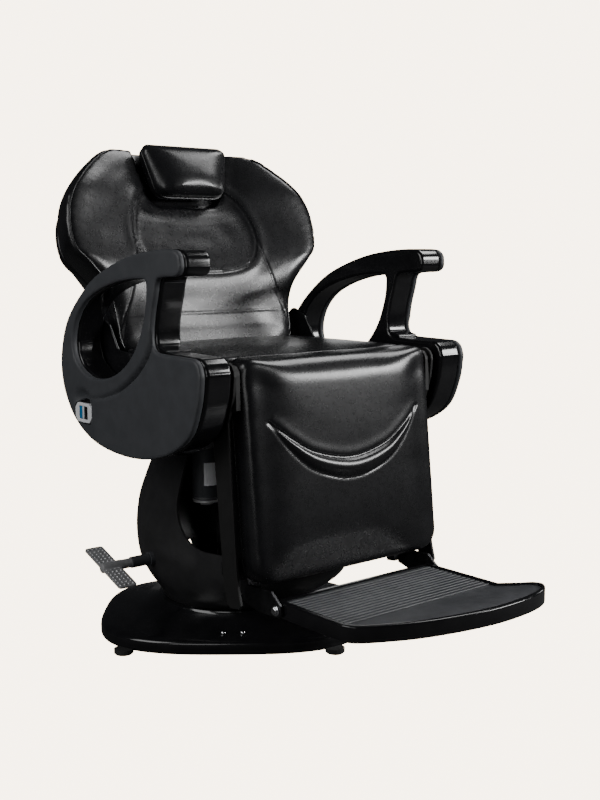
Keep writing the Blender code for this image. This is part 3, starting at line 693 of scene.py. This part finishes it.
def back_edge(s):
    """How far behind the reference face the front edge lies, at height s up the back."""
    return -0.004 - 0.032 * ease(s, 0.06, 0.19) + 0.026 * ease(s, 0.33, 0.44)


def back_middle(s):
    return -0.007 - 0.004 * ease(s, -0.01, 0.11) + 0.022 * ease(s, 0.13, 0.26) + 0.021 * ease(s, 0.2, 0.5)


U_SEAM = smooth_run([(0.0, 0.149), (0.06, 0.15), (0.11, 0.159), (0.147, 0.182), (0.165, 0.222),
                     (0.163, 0.265), (0.143, 0.312), (0.112, 0.344), (0.085, 0.356)], 5)
SIDE_SEAM = smooth_run([(0.166, 0.232), (0.176, 0.19), (0.19, 0.14), (0.204, 0.095), (0.222, 0.055),
                        (0.233, 0.015)], 5)


def build_back_cushion():
    half = back_half()
    outline = half + [(-x, s) for x, s in reversed(half[:-1])]
    widths, heights = zip(*half)

    @functools.cache
    def half_width(s):
        return max(float(np.interp(s, heights, widths)), 0.06)

    def front(x, s):
        across = min(abs(x) / half_width(round(min(max(s, -0.03), 0.43), 6)), 1.0)
        return back_middle(s) + (back_edge(s) - back_middle(s)) * across ** 2.6

    rings = [[(x * 0.02, front(0, 0.19), 0.19 + (s - 0.19) * 0.02) for x, s in outline]]
    for t in (0.15, 0.3, 0.45, 0.6, 0.72, 0.82, 0.9, 0.955, 0.985):
        ring = []
        for p in outline:
            x, s = drawn_in(p, (0.0, 0.19), t)
            ring.append((x, front(x, s) + 0.01 * max(t - 0.93, 0) / 0.055, s))
        rings.append(ring)
    for depth, shrink in ((0.04, 0.0), (0.12, 0.02), (0.35, 0.12), (0.6, 0.36), (0.82, 0.68),
                          (0.95, 0.92), (1.0, 1.06)):
        ring = []
        for x, s in outline:
            edge = back_edge(s) + 0.012
            narrow = 1 - shrink * (0.03 + 0.048 * ease(s, 0.05, 0.17))
            drop = (s - 0.19) * (1 - 0.045 * shrink) + 0.19
            ring.append((x * narrow, edge + (0.074 - edge) * depth, drop))
        rings.append(ring)
    rings.append([(x * 0.02, 0.074, 0.19 + (s - 0.19) * 0.02) for x, s in outline])
    mesh = mesh_of(*loft(rings), BACK)
    pocket = rounded([(-0.0965, 0.3105), (0.0965, 0.3105), (0.1245, 0.45), (0.1245, 0.56),
                      (-0.1245, 0.56), (-0.1245, 0.45)], [0.037, 0.037, 0.02, 0.02, 0.02, 0.02], 8)
    mesh = cut_mesh(mesh, extruded([pocket], "Y", -0.09, 0.043, 0.0, BACK))

    def held(local):
        x, off, s = np.abs(local[:, 0]), local[:, 1], local[:, 2]
        flat = np.column_stack([x, s])
        rim = (line_distance(flat, half) < 0.01) & (off < 0.02)
        pocket_walls = (x < 0.132) & (s > 0.3)
        return (off > 0.062) | rim | pocket_walls | (s < -0.024)

    mesh = swell(mesh, 0.0066, 0.012, BACK, held, 4.0, 10.0, 24)
    local = local_points(points_of(mesh), BACK)
    flat = np.column_stack([np.abs(local[:, 0]), local[:, 2]])
    loop = [(-0.01, 0.149), *U_SEAM, (0.085, 0.5), (-0.01, 0.5)]
    within = inside(flat, loop) & (local[:, 1] < 0.045)
    away = line_distance(flat, U_SEAM)
    sink = np.where(within, 0.0022 * (1 - np.exp(-((away / 0.009) ** 2))) + 0.0004, 0.0)
    rise = np.where(~within & (local[:, 1] < 0.045), 0.0016 * np.exp(-(((away - 0.012) / 0.012) ** 2)), 0.0)
    local[:, 1] += sink - rise
    set_points(mesh, world_points(local, BACK))
    mirror = [[(-x, s) for x, s in line] for line in (U_SEAM, SIDE_SEAM)]
    crease = [[(-0.222, 0.0585), (-0.1, 0.0575), (0.0, 0.057), (0.1, 0.0575), (0.222, 0.0585)]]
    press(mesh, BACK, [U_SEAM, *mirror, SIDE_SEAM], 0.0017, 0.0024)
    press(mesh, BACK, crease, 0.0007, 0.003)
    skin = Skin(mesh)
    cushion("back_upholstery", mesh, "back", "back_cushion")
    for name, side in SIDES:
        spots = [BACK @ Vector((side * (x - 0.001), back_edge(s) + 0.004, s)) for x, s in half[4:-14]]
        piping(f"wing_piping_{name}", skin.above(spots, 0.0008), "back", 0.0026)
        seam = [(side * (x - 0.0042), s) for x, s in smooth_run(SIDE_SEAM, 2)]
        stitches(f"side_stitching_{name}", skin.seam(BACK, seam), "back")
    loop = [(-x, s) for x, s in reversed(U_SEAM)] + U_SEAM[1:]
    seam = []
    for x, s in smooth_run(loop[::2], 2):
        out = Vector((x, s - 0.24)).normalized() * 0.005
        if s < 0.36:
            seam.append((x + out.x, s + out.y))
    stitches("centre_stitching", skin.seam(BACK, seam), "back")


def build_headrest_cushion():
    corners = [(-0.0885, 0.325), (0.0885, 0.325), (0.117, 0.444), (-0.117, 0.444)]
    outline = rounded(corners, [0.034, 0.034, 0.018, 0.018], 12)
    centre = (0.0, 0.385)

    def front(x, s):
        up = min(max((s - 0.325) / 0.119, 0.0), 1.0)
        half = 0.0885 + 0.0285 * up
        across = min(abs(x) / half, 1.0)
        crown = ease(up, -0.14, 0.16) * (1 - 0.4 * ease(up, 0.28, 1.0)) * (1 - ease(up, 0.86, 1.06))
        return -0.006 - 0.033 * crown * (1 - across ** 3.2) ** 0.6

    rings = [[(x * 0.02, front(0, 0.385), 0.385 + (s - 0.385) * 0.02) for x, s in outline]]
    for t in (0.2, 0.4, 0.55, 0.68, 0.8, 0.88, 0.94, 0.98):
        ring = []
        for p in outline:
            x, s = drawn_in(p, centre, t)
            ring.append((x, front(x, s), s))
        rings.append(ring)
    for off, scale in ((-0.002, 1.0), (0.008, 1.0), (0.018, 0.985), (0.026, 0.95), (0.0285, 0.9), (0.029, 0.5),
                       (0.029, 0.02)):
        rings.append([(x, off, s) for x, s in (drawn_in(p, centre, scale) for p in outline)])
    mesh = mesh_of(*loft(rings), BACK)

    def held(local):
        return (local[:, 1] > 0.024) | (np.abs(local[:, 1] + 0.002) < 0.0045)

    mesh = swell(mesh, 0.0042, 0.005, BACK, held, 4.0, 10.0, 12)
    skin = Skin(mesh)
    cushion("headrest_upholstery", mesh, "headrest", "headrest_cushion")
    spots = [BACK @ Vector((x * 1.01, 0.0, centre[1] + (s - centre[1]) * 1.01)) for x, s in outline]
    piping("headrest_piping", skin.above(spots, 0.0006), "headrest", 0.0024, True)


SMILE_TOP = smooth_run([(-0.196, 0.524), (-0.15, 0.488), (-0.09, 0.455), (0.0, 0.438), (0.09, 0.455),
                        (0.15, 0.488), (0.196, 0.524)], 8)
SMILE_LOW = smooth_run([(-0.196, 0.524), (-0.15, 0.464), (-0.09, 0.419), (0.0, 0.398), (0.09, 0.419),
                        (0.15, 0.464), (0.196, 0.524)], 8)


def build_calf_pad():
    corners = [(-0.2445, -0.4045), (0.2445, -0.4045), (0.2445, 0.031), (-0.2445, 0.031)]
    outline = rounded(corners, [0.048, 0.048, 0.026, 0.026], 10)
    mesh = extruded([outline], "Y", -0.0315, 0.0325, 0.018, LEG, 5)

    def held(local):
        x, off, v = np.abs(local[:, 0]), local[:, 1], local[:, 2]
        return (off > 0.022) | ((off > -0.02) & ((x > 0.236) | (v < -0.396)))

    mesh = swell(mesh, 0.0066, 0.01, LEG, held, 4.0, 12.0, 24)
    axis_z = 0.618
    cos = math.cos(LEG_TILT)
    top = [(x, (z - axis_z) / cos) for x, z in SMILE_TOP]
    low = [(x, (z - axis_z) / cos) for x, z in SMILE_LOW]
    local = local_points(points_of(mesh), LEG)
    flat = local[:, [0, 2]]
    front = local[:, 1] < -0.005
    to_top, to_low = line_distance(flat, top), line_distance(flat, low)
    within = inside(flat, top + list(reversed(low))) & front
    share = to_top / np.maximum(to_top + to_low, 1e-6)
    room = np.minimum((to_top + to_low) / 0.038, 1.0)
    puff = np.where(within, 0.0095 * room * np.sin(np.pi * share ** 0.85), 0.0)
    above = np.where(~within & front & (to_top < to_low), 0.0008 * np.exp(-(((to_top - 0.01) / 0.01) ** 2)),
                     0.0)
    local[:, 1] -= puff + above
    set_points(mesh, world_points(local, LEG))
    press(mesh, LEG, [top], 0.003, 0.0028)
    press(mesh, LEG, [low], 0.0016, 0.0026)
    skin = Skin(mesh)
    cushion("calf_upholstery", mesh, "leg_rest", "calf_pad")
    for name, line, shift in (("upper", top, 0.0045), ("lower", low, -0.0045)):
        seam = [(x, v + shift) for x, v in line]
        stitches(f"smile_stitching_{name}", skin.seam(LEG, seam), "leg_rest")
    edge = rounded([(-0.2425, -0.4045), (0.2425, -0.4045), (0.2425, 0.0325), (-0.2425, 0.0325)],
                   [0.048, 0.048, 0.026, 0.026], 10)
    spots = [LEG @ Vector((x, 0.02, v)) for x, v in edge]
    piping("calf_piping", skin.above(spots, 0.0004), "leg_rest", 0.0022, True)


# ---------------------------------------------------------------- armrests and switch
def arm_outline():
    over = smooth_run([(-0.316, 0.828), (-0.3135, 0.837), (-0.306, 0.845), (-0.294, 0.8495),
                       (-0.262, 0.8505), (-0.205, 0.8465), (-0.14, 0.837), (-0.07, 0.818), (0.0, 0.79),
                       (0.062, 0.748), (0.108, 0.702),
                       (0.132, 0.65), (0.138, 0.598), (0.122, 0.545), (0.08, 0.494), (0.01, 0.458),
                       (-0.08, 0.443), (-0.18, 0.445), (-0.27, 0.467), (-0.338, 0.508), (-0.368, 0.566),
                       (-0.377, 0.616), (-0.3755, 0.63), (-0.37, 0.643), (-0.36, 0.6515)], 8)
    post = smooth_run([(-0.35, 0.654), (-0.29, 0.655), (-0.25, 0.6555), (-0.232, 0.6575), (-0.2195, 0.664),
                       (-0.214, 0.676), (-0.214, 0.7), (-0.22, 0.733), (-0.229, 0.762),
                       (-0.235, 0.786), (-0.243, 0.7955), (-0.262, 0.7985)], 4)
    nose = smooth_run([(-0.28, 0.7995), (-0.298, 0.8005), (-0.309, 0.8045), (-0.315, 0.812),
                       (-0.3165, 0.819)], 8)
    return list(reversed(over + post + nose))


def arm_hole():
    return smooth_run([(-0.2, 0.789), (-0.19, 0.7935), (-0.15, 0.7925), (-0.095, 0.786), (-0.03, 0.77),
                       (0.03, 0.744), (0.07, 0.706), (0.086, 0.66), (0.074, 0.62), (0.03, 0.594),
                       (-0.02, 0.589), (-0.08, 0.602), (-0.135, 0.634), (-0.175, 0.682), (-0.197, 0.738),
                       (-0.202, 0.775)], 5, True)


def build_arm_details():
    """The collar at each post's foot and the plate that closes the space beside the seat's hinge."""
    for name, side in SIDES:
        low, high = sorted((side * 0.279, side * 0.333))
        profile = rounded([(-0.2475, 0.6545), (-0.2105, 0.6545), (-0.2125, 0.669), (-0.2475, 0.661)],
                          [0.002, 0.002, 0.003, 0.003], 5)
        collar = extruded([profile], "X", low, high, 0.0015, PLACE, 3)
        weigh_normals(add_piece(f"post_collar_{name}", collar, "gloss_black", "seat", (), 40))
        low, high = sorted((side * 0.268, side * 0.2725))
        plate = rounded([(-0.06, 0.56), (0.15, 0.556), (0.172, 0.6), (0.156, 0.668), (0.112, 0.712),
                         (0.066, 0.692), (0.03, 0.64), (-0.06, 0.636)],
                        [0.01, 0.02, 0.03, 0.03, 0.02, 0.02, 0.015, 0.01], 6)
        cover = extruded([plate], "X", low, high, 0.0015, PLACE, 2)
        weigh_normals(add_piece(f"side_plate_{name}", cover, "gloss_black", "seat", (), 40))


LOOP_GROOVE = smooth_run([(-0.216, 0.69), (-0.204, 0.657), (-0.178, 0.626), (-0.141, 0.598), (-0.095, 0.572),
                          (-0.044, 0.555), (0.0, 0.548), (0.03, 0.547)], 6)


def build_arms():
    outline, hole = arm_outline(), arm_hole()
    for name, side in SIDES:
        low, high = sorted((side * 0.2765, side * 0.3348))
        mesh = extruded([outline, hole], "X", low, high, 0.0075, PLACE, 4)
        piece = add_piece(f"arm_core_{name}", mesh, "gloss_black", "seat", (f"arm_body_{name}",), 50)
        weigh_normals(piece)
        low, high = sorted((side * 0.3354, side * 0.35))
        mesh = extruded([outline, hole], "X", low, high, 0.004, PLACE, 3)
        mesh = evaluated_mesh(mesh, ("REMESH", {"mode": "VOXEL", "voxel_size": 0.0026}),
                              ("SMOOTH", {"factor": 0.5, "iterations": 4}))
        points = points_of(mesh)
        local = local_points(points, PLACE)
        flat = local[:, [1, 2]]
        away = line_distance(flat, LOOP_GROOVE)
        outer = np.clip((side * local[:, 0] - 0.344) / 0.004, 0, 1)
        fade = np.clip((0.045 - local[:, 1]) / 0.18, 0, 1)
        local[:, 0] -= side * outer * fade * 0.006 * np.exp(-((away / 0.0045) ** 2))
        loop = [*LOOP_GROOVE, (0.2, 0.55), (0.2, 0.9), (-0.3, 0.9), (-0.3, 0.7)]
        below = ~inside(flat, loop)
        local[:, 0] -= side * outer * fade * np.where(below, 0.004 * np.exp(-away / 0.06), 0.0)
        if side < 0:
            dent = ((local[:, 1] - 0.05) / 0.03) ** 2 + ((local[:, 2] - 0.541) / 0.02) ** 2
            local[:, 0] += outer * 0.0125 * np.exp(-dent ** 1.5 * 1.3)
        set_points(mesh, world_points(local, PLACE))
        if side < 0:
            window = rounded([(0.011, 0.49), (0.081, 0.49), (0.081, 0.536), (0.011, 0.536)], 0.012, 6)
            mesh = cut_mesh(mesh, extruded([window], "X", -0.37, -0.33, 0.0, PLACE))
            # The recess above the switch is real, but the bowl is cut right through the cover so the darker
            # gloss core shows at its bottom: painted shade in the recess.
            turns = [math.radians(angle) for angle in range(-80, 81, 10)]
            bowl = [(0.0, -1.0), *((math.cos(a), math.sin(a)) for a in turns), (0.0, 1.0)]
            place = PLACE @ Matrix.Translation((-0.352, 0.05, 0.535)) @ Matrix.Diagonal((0.02, 0.024, 0.01,
                                                                                         1.0))
            mesh = cut_mesh(mesh, turned(list(reversed(bowl)), place, 32))
        add_piece(f"arm_cover_{name}", mesh, "matte_black", "seat", (f"arm_panel_{name}",), 50)


def build_switch():
    y, z = 0.046, 0.513
    outer = rounded([(y - 0.033, z - 0.01), (y - 0.023, z - 0.0205), (y + 0.023, z - 0.0205),
                     (y + 0.033, z - 0.01), (y + 0.033, z + 0.01), (y + 0.023, z + 0.0205),
                     (y - 0.023, z + 0.0205), (y - 0.033, z + 0.01)], 0.007, 6)
    window = rounded([(y - 0.0172, z - 0.0136), (y + 0.0172, z - 0.0136), (y + 0.0172, z + 0.0136),
                      (y - 0.0172, z + 0.0136)], 0.002, 4)
    mesh = extruded([outer, window], "X", -0.35, -0.3432, 0.0012, PLACE, 3)
    weigh_normals(add_piece("switch_frame", mesh, "bright_trim", "seat", ("switch_bezel",), 40))
    for name, start, end, paint in (("blue", 0.006, 0.016, "rocker_blue"),
                                    ("white", 0.0005, 0.006, "rocker_white"),
                                    ("black", -0.016, 0.0005, "gloss_black")):
        corners = [(y + t, -0.3477 - 0.0019 * abs(t) / 0.016) for t in (start, end)]
        corners += [(y + end, -0.3432), (y + start, -0.3432)]
        verts = [(x, along, z + dz) for dz in (-0.0128, 0.0128) for along, x in corners]
        faces = [(0, 1, 2, 3), (7, 6, 5, 4), (0, 4, 5, 1), (1, 5, 6, 2), (2, 6, 7, 3), (3, 7, 4, 0)]
        mesh = evaluated_mesh(mesh_of(verts, faces, PLACE), ("BEVEL", {"width": 0.0004, "segments": 2}))
        piece = add_piece(f"rocker_{name}", mesh, paint, "rocker")
        if name == "black":
            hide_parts("switch_rocker")


# ---------------------------------------------------------------- base and column
def build_base():
    keys = [(0.272, 0.221, 3.0, 0.0125), (0.282, 0.23, 3.0, 0.008), (0.29, 0.237, 3.0, 0.007),
            (0.2945, 0.2415, 3.0, 0.011), (0.295, 0.242, 3.0, 0.018), (0.295, 0.242, 3.0, 0.027),
            (0.293, 0.2403, 3.0, 0.0335), (0.285, 0.2338, 2.95, 0.0385),
            (0.262, 0.217, 2.8, 0.044), (0.236, 0.201, 2.55, 0.05), (0.21, 0.187, 2.3, 0.057),
            (0.188, 0.175, 2.1, 0.066), (0.174, 0.169, 2.0, 0.0735), (0.168, 0.167, 2.0, 0.078)]
    rings = [super_ring(a, b, power, z, 0.0, 128) for a, b, power, z in smooth_run(keys, 4)]
    mesh = mesh_of(*loft(rings), BASE)
    add_piece("base_shell", mesh, "gloss_black", "base", ("base_plate",), 60)


COVER_LEVELS = ((0.158, 0.162, 2.0, 0.0, 0.0805), (0.168, 0.185, 2.1, -0.012, 0.1),
                (0.183, 0.222, 2.4, -0.024, 0.13), (0.191, 0.25, 2.6, -0.03, 0.165),
                (0.194, 0.262, 2.6, -0.03, 0.225), (0.189, 0.254, 2.6, -0.03, 0.29),
                (0.178, 0.24, 2.5, -0.03, 0.34), (0.165, 0.224, 2.4, -0.03, 0.385),
                (0.152, 0.208, 2.3, -0.03, 0.43))


def build_cover():
    rings = [super_ring(a, b, power, z, shift, 112) for a, b, power, shift, z in smooth_run(COVER_LEVELS, 5)]
    mesh = mesh_of(*loft(rings, False), PLACE)
    mesh = evaluated_mesh(mesh, ("SOLIDIFY", {"thickness": 0.005, "offset": -1.0, "use_even_offset": True}))
    edge_y, sill_z, bend = -0.048, 0.226, 0.105
    opening = [(-0.36, 0.49), (-0.36, sill_z - 0.004)]
    for step in range(25):
        angle = math.radians(-90 + 90 * step / 24)
        opening.append((edge_y - bend + bend * math.cos(angle), sill_z + bend + bend * math.sin(angle)))
    opening.append((edge_y, 0.49))
    mesh = cut_mesh(mesh, extruded([opening], "X", -0.25, 0.25))
    for side in (-1, 1):
        place = PEDAL @ Matrix.Translation((side * 0.1895, 0, 0)) @ Matrix.Rotation(math.pi / 2, 4, "Y")
        mesh = cut_mesh(mesh, turned([(0.016, 0.03), (0.016, -0.03)], place))
    mesh = cut_mesh(mesh, box_mesh((-0.0265, 0.15, 0.1175), (0.0265, 0.26, 0.1505)))
    piece = add_piece("column_shell", mesh, "satin_black", "column", ("column_cover",), 40)
    polish(piece, 0.0012, 2, 40)


# ---------------------------------------------------------------- pedals, motor, bolts
def build_pedals():
    for name, side in SIDES:
        turn = Matrix.Rotation(side * math.pi / 2, 4, "Y")
        stub = [(0.0, 0.316), (0.0085, 0.316), (0.0105, 0.315), (0.0113, 0.313), (0.0113, 0.27),
                (0.0105, 0.264), (0.0105, 0.244), (0.0, 0.244)]
        mesh = turned(stub, PEDAL @ turn, 32)
        flat = Matrix.Rotation(math.radians(20), 4, "X")
        low, high = sorted((side * 0.272, side * 0.3155))
        plate = rounded([(low, -0.078), (high, -0.078), (high, 0.078), (low, 0.078)], 0.006, 5)
        tread = extruded([plate], "Z", -0.004, 0.0012, 0.0008, PEDAL @ flat, 2)
        studs = []
        for row in range(15):
            for column in range(4):
                foot = Vector((low + 0.0065 + column * 0.0102, -0.0705 + row * 0.01007, 0.0))
                studs.append(loft([ring_round(foot + Vector((0, 0, z)), Vector((1, 0, 0)), Vector((0, 1, 0)),
                                              radius, 10)
                                   for radius, z in ((0.003, 0.001), (0.0026, 0.002), (0.0014, 0.0026))]))
        studs = mesh_of(*merged(studs), PEDAL @ flat)
        add_piece(f"pedal_stub_{name}", mesh, "silver", "pedals", (f"pedal_{name}",), 40)
        weigh_normals(add_piece(f"pedal_tread_{name}", tread, "silver", "pedals", (), 40))
        add_piece(f"pedal_studs_{name}", studs, "silver", "pedals", (), 60)


def build_motor():
    place = PLACE @ Matrix.Translation((-0.1, -0.04, 0.0))
    body = [(0.0, 0.428), (0.0285, 0.428), (0.0305, 0.4265), (0.031, 0.424), (0.031, 0.32), (0.0302, 0.319),
            (0.0302, 0.3165), (0.031, 0.3155), (0.031, 0.314), (0.0295, 0.3125), (0.0, 0.3125)]
    add_piece("motor_can", turned(body, place, 64), "matte_black", "seat", ("pump_motor",), 40)
    cap = [(0.0, 0.312), (0.03, 0.312), (0.031, 0.311), (0.031, 0.307), (0.03, 0.306), (0.016, 0.3055),
           (0.015, 0.304), (0.0145, 0.3), (0.013, 0.2985), (0.0, 0.298)]
    add_piece("motor_cap", turned(cap, place, 64), "silver", "seat", ("motor_end_cap",), 40)
    verts, faces = [], []
    first, last, count = math.radians(225), math.radians(318), 14
    for z in (0.345, 0.395):
        for radius in (0.031, 0.0314):
            for step in range(count):
                angle = first + (last - first) * step / (count - 1)
                verts.append((radius * math.cos(angle), radius * math.sin(angle), z))
    for step in range(count - 1):
        a, b, c, d = step, count + step, 2 * count + step, 3 * count + step
        faces += [(b, b + 1, d + 1, d), (a, c, c + 1, a + 1), (a, a + 1, b + 1, b), (c, d, d + 1, c + 1)]
    faces += [(0, count, 3 * count, 2 * count),
              (count - 1, 3 * count - 1, 4 * count - 1, 2 * count - 1)]
    add_piece("motor_label", mesh_of(verts, faces, place), "bright_trim", "seat", (), 60)


def hex_bolt(name, place, radius, height, body, node):
    """A hexagon head on a washer, with its top edge turned off."""
    washer = [(0.0, 0.0016), (radius * 1.28, 0.0016), (radius * 1.34, 0.001), (radius * 1.34, 0.0), (0.0, 0.0)]
    head = mesh_of(*loft([[(r * math.cos(math.pi * k / 3), r * math.sin(math.pi * k / 3), z) for k in range(6)]
                          for r, z in ((radius, 0.0016), (radius, height * 0.86), (radius * 0.86, height))]),
                          place)
    mesh = joined(turned(washer, place, 32), head)
    piece = add_piece(name, mesh, "chrome", body, (node,), 30)
    polish(piece, 0.0004, 2)


def build_bolts():
    for name, side in SIDES:
        turn = Matrix.Rotation(side * math.pi / 2, 4, "Y")
        place = TRAY @ Matrix.Translation((side * 0.2155, 0, 0)) @ turn
        hex_bolt(f"tray_screw_{name}", place, 0.0078, 0.0062, "footrest", f"tray_bolt_{name}")
    for name, offset in (("left", -0.0205), ("right", 0.0205)):
        place = BASE @ Matrix.Translation((offset + 0.008, -0.212,
                                           0.0478)) @ Matrix.Rotation(math.radians(15.4), 4, "X")
        head = [(0.0, 0.004), (0.003, 0.0038), (0.0052, 0.0024), (0.0062, 0.0002), (0.0062, -0.0012),
                (0.0, -0.0012)]
        add_piece(f"base_screw_{name}", turned(head, place, 24), "chrome", "base", (f"base_bolt_{name}",), 50)


# ---------------------------------------------------------------- footrest
def tray_outline(inset=0.0):
    side = 0.2065 - inset
    front = smooth_run([(-side, -0.6), (-0.196 + inset, -0.622 + inset * 0.6), (-0.16, -0.646 + inset),
                        (-0.09, -0.678 + inset), (0.0, -0.702 + inset), (0.09, -0.714 + inset),
                        (0.18, -0.71 + inset), (0.24, -0.694 + inset * 0.8),
                        (0.272 - inset * 0.9, -0.668 + inset * 0.2), (0.266 - inset, -0.646),
                        (0.24 - inset, -0.63 - inset * 0.3), (side, -0.606)], 5)
    rear = -0.412 - inset
    return [(x, y + 0.425) for x, y in [(-side, rear), *front, (side, rear)]]


def build_footrest():
    low, high = -0.016, 0.016
    mesh = extruded([tray_outline()], "Z", low, high, 0.003, TRAY, 3)
    mesh = cut_mesh(mesh, extruded([tray_outline(0.0105)], "Z", high - 0.0062, high + 0.02, 0.0, TRAY),
                    extruded([tray_outline(0.005)], "Z", low - 0.02, high - 0.011, 0.0, TRAY))
    piece = add_piece("tray_shell", mesh, "gloss_black", "footrest", ("footrest_tray",), 30)
    polish(piece, 0.001, 2, 35)
    floor = high - 0.006
    mesh = extruded([tray_outline(0.011)], "Z", floor, floor + 0.0016, 0.0005, TRAY, 2)
    bars = []
    for step in range(14):
        y = -0.007 - 0.0122 * step
        rib = rounded([(y - 0.0047, 0.0), (y + 0.0047, 0.0), (y + 0.004, 0.003), (y - 0.004, 0.003)], 0.0011, 4)
        ends = [[(x, a, floor + 0.001 + b) for a, b in rib] for x in (-0.1915, 0.1915)]
        bars.append(mesh_of(*loft(ends), TRAY))
    add_piece("tray_ribs", joined(mesh, *bars), "tray_mat", "footrest", ("ribbed_mat",), 40)


# ---------------------------------------------------------------- carried-over CAD pieces
SLOTS = {entry["node"]: entry["material_slot"] for entry in frame["record"]["subparts"]}


def finish_cad_nodes():
    for name, node in frame["nodes"].items():
        if node.hide_render:
            continue
        paint = PAINT.get(SLOTS.get(name), PAINT["steel"])
        # The leg rest's frame pieces get dull_black in place of their slot's paint. The duller finish damps
        # their highlight, and the darker colour is painted shade for the gap beside the calf pad.
        if name.startswith("leg_"):
            paint = PAINT["dull_black"]
        if not node.data.materials:
            node.data.materials.append(paint)
        for held in node.material_slots:
            held.material = paint
        polish(node, 0.0008, 2, 35)


# ---------------------------------------------------------------- stage
# What the camera sees behind the chair, bright enough to come out near white.
BACKDROP = (6.9, 5.95, 4.7, 1.0)
# Name, place, the point it faces, width and height, and watts.
LIGHTS = (("key_right", (2.0, -2.02, 1.4), (0.05, 0.25, 0.75), (1.3, 0.62), 62),
          ("side_right", (2.6, -0.1, 1.2), (0, 0.2, 0.8), (0.6, 0.4), 4),
          ("fill_left", (-2.5, 0.1, 1.9), (0, 0.2, 0.7), (1.6, 1.8), 34),
          ("front_left", (-2.6, -1.8, 1.1), (0, 0.2, 0.5), (1.2, 1.2), 9),
          ("overhead", (1.75, -0.05, 2.75), (0, 0.2, 0.7), (1.2, 0.9), 26),
          ("rim_back", (1.75, 2.5, 1.0), (0, 0.2, 0.5), (1.3, 0.9), 4))


def soft_light(name, place, target, size, power):
    light = bpy.data.lights.new(name, "AREA")
    light.shape = "RECTANGLE"
    light.size, light.size_y = size
    light.energy = power
    lamp = bpy.data.objects.new(name, light)
    lamp.location = place
    lamp.rotation_euler = (Vector(target) - Vector(place)).to_track_quat("-Z", "Y").to_euler()
    link(lamp)


def build_stage():
    scene = bpy.context.scene
    lens = bpy.data.cameras.new("photo_view")
    lens.sensor_width = 36.0
    lens.lens = 51.75
    lens.clip_start = 0.05
    camera = bpy.data.objects.new("photo_view", lens)
    camera.location = (-1.521, -2.06 + COLUMN_Y, 0.852)
    camera.rotation_euler = (math.radians(90 - 7.517), 0.0, math.radians(-39.857))
    link(camera)
    scene.camera = camera

    world = bpy.data.worlds.new("studio")
    world.use_nodes = True
    background = world.node_tree.nodes["Background"]
    background.inputs["Color"].default_value = BACKDROP
    background.inputs["Strength"].default_value = 1.0
    dim = world.node_tree.nodes.new("ShaderNodeBackground")
    dim.inputs["Color"].default_value = (0.9, 0.93, 1.0, 1.0)
    dim.inputs["Strength"].default_value = 0.02
    path = world.node_tree.nodes.new("ShaderNodeLightPath")
    mix = world.node_tree.nodes.new("ShaderNodeMixShader")
    links = world.node_tree.links
    links.new(path.outputs["Is Camera Ray"], mix.inputs["Fac"])
    links.new(dim.outputs["Background"], mix.inputs[1])
    links.new(background.outputs["Background"], mix.inputs[2])
    links.new(mix.outputs["Shader"], world.node_tree.nodes["World Output"].inputs["Surface"])
    scene.world = world

    for light in LIGHTS:
        soft_light(*light)

    floor_mesh = mesh_of([(-6, -6, 0), (6, -6, 0), (6, 6, 0), (-6, 6, 0)], [(0, 1, 2, 3)])
    floor = bpy.data.objects.new("floor", floor_mesh)
    paint = bpy.data.materials.new("floor")
    paint.use_nodes = True
    shader = paint.node_tree.nodes["Principled BSDF"]
    shader.inputs["Base Color"].default_value = (0.05, 0.05, 0.05, 1.0)
    shader.inputs["Roughness"].default_value = 0.9
    shader.inputs["Emission Color"].default_value = BACKDROP
    path = paint.node_tree.nodes.new("ShaderNodeLightPath")
    paint.node_tree.links.new(path.outputs["Is Camera Ray"], shader.inputs["Emission Strength"])
    floor_mesh.materials.append(paint)
    link(floor)


PAINT = make_materials()
build_seat_cushion()
build_back_cushion()
build_back_rear()
build_headrest_cushion()
build_calf_pad()
build_arms()
build_arm_details()
build_switch()
build_base()
build_cover()
build_pedals()
build_motor()
build_bolts()
build_footrest()
finish_cad_nodes()
build_stage()
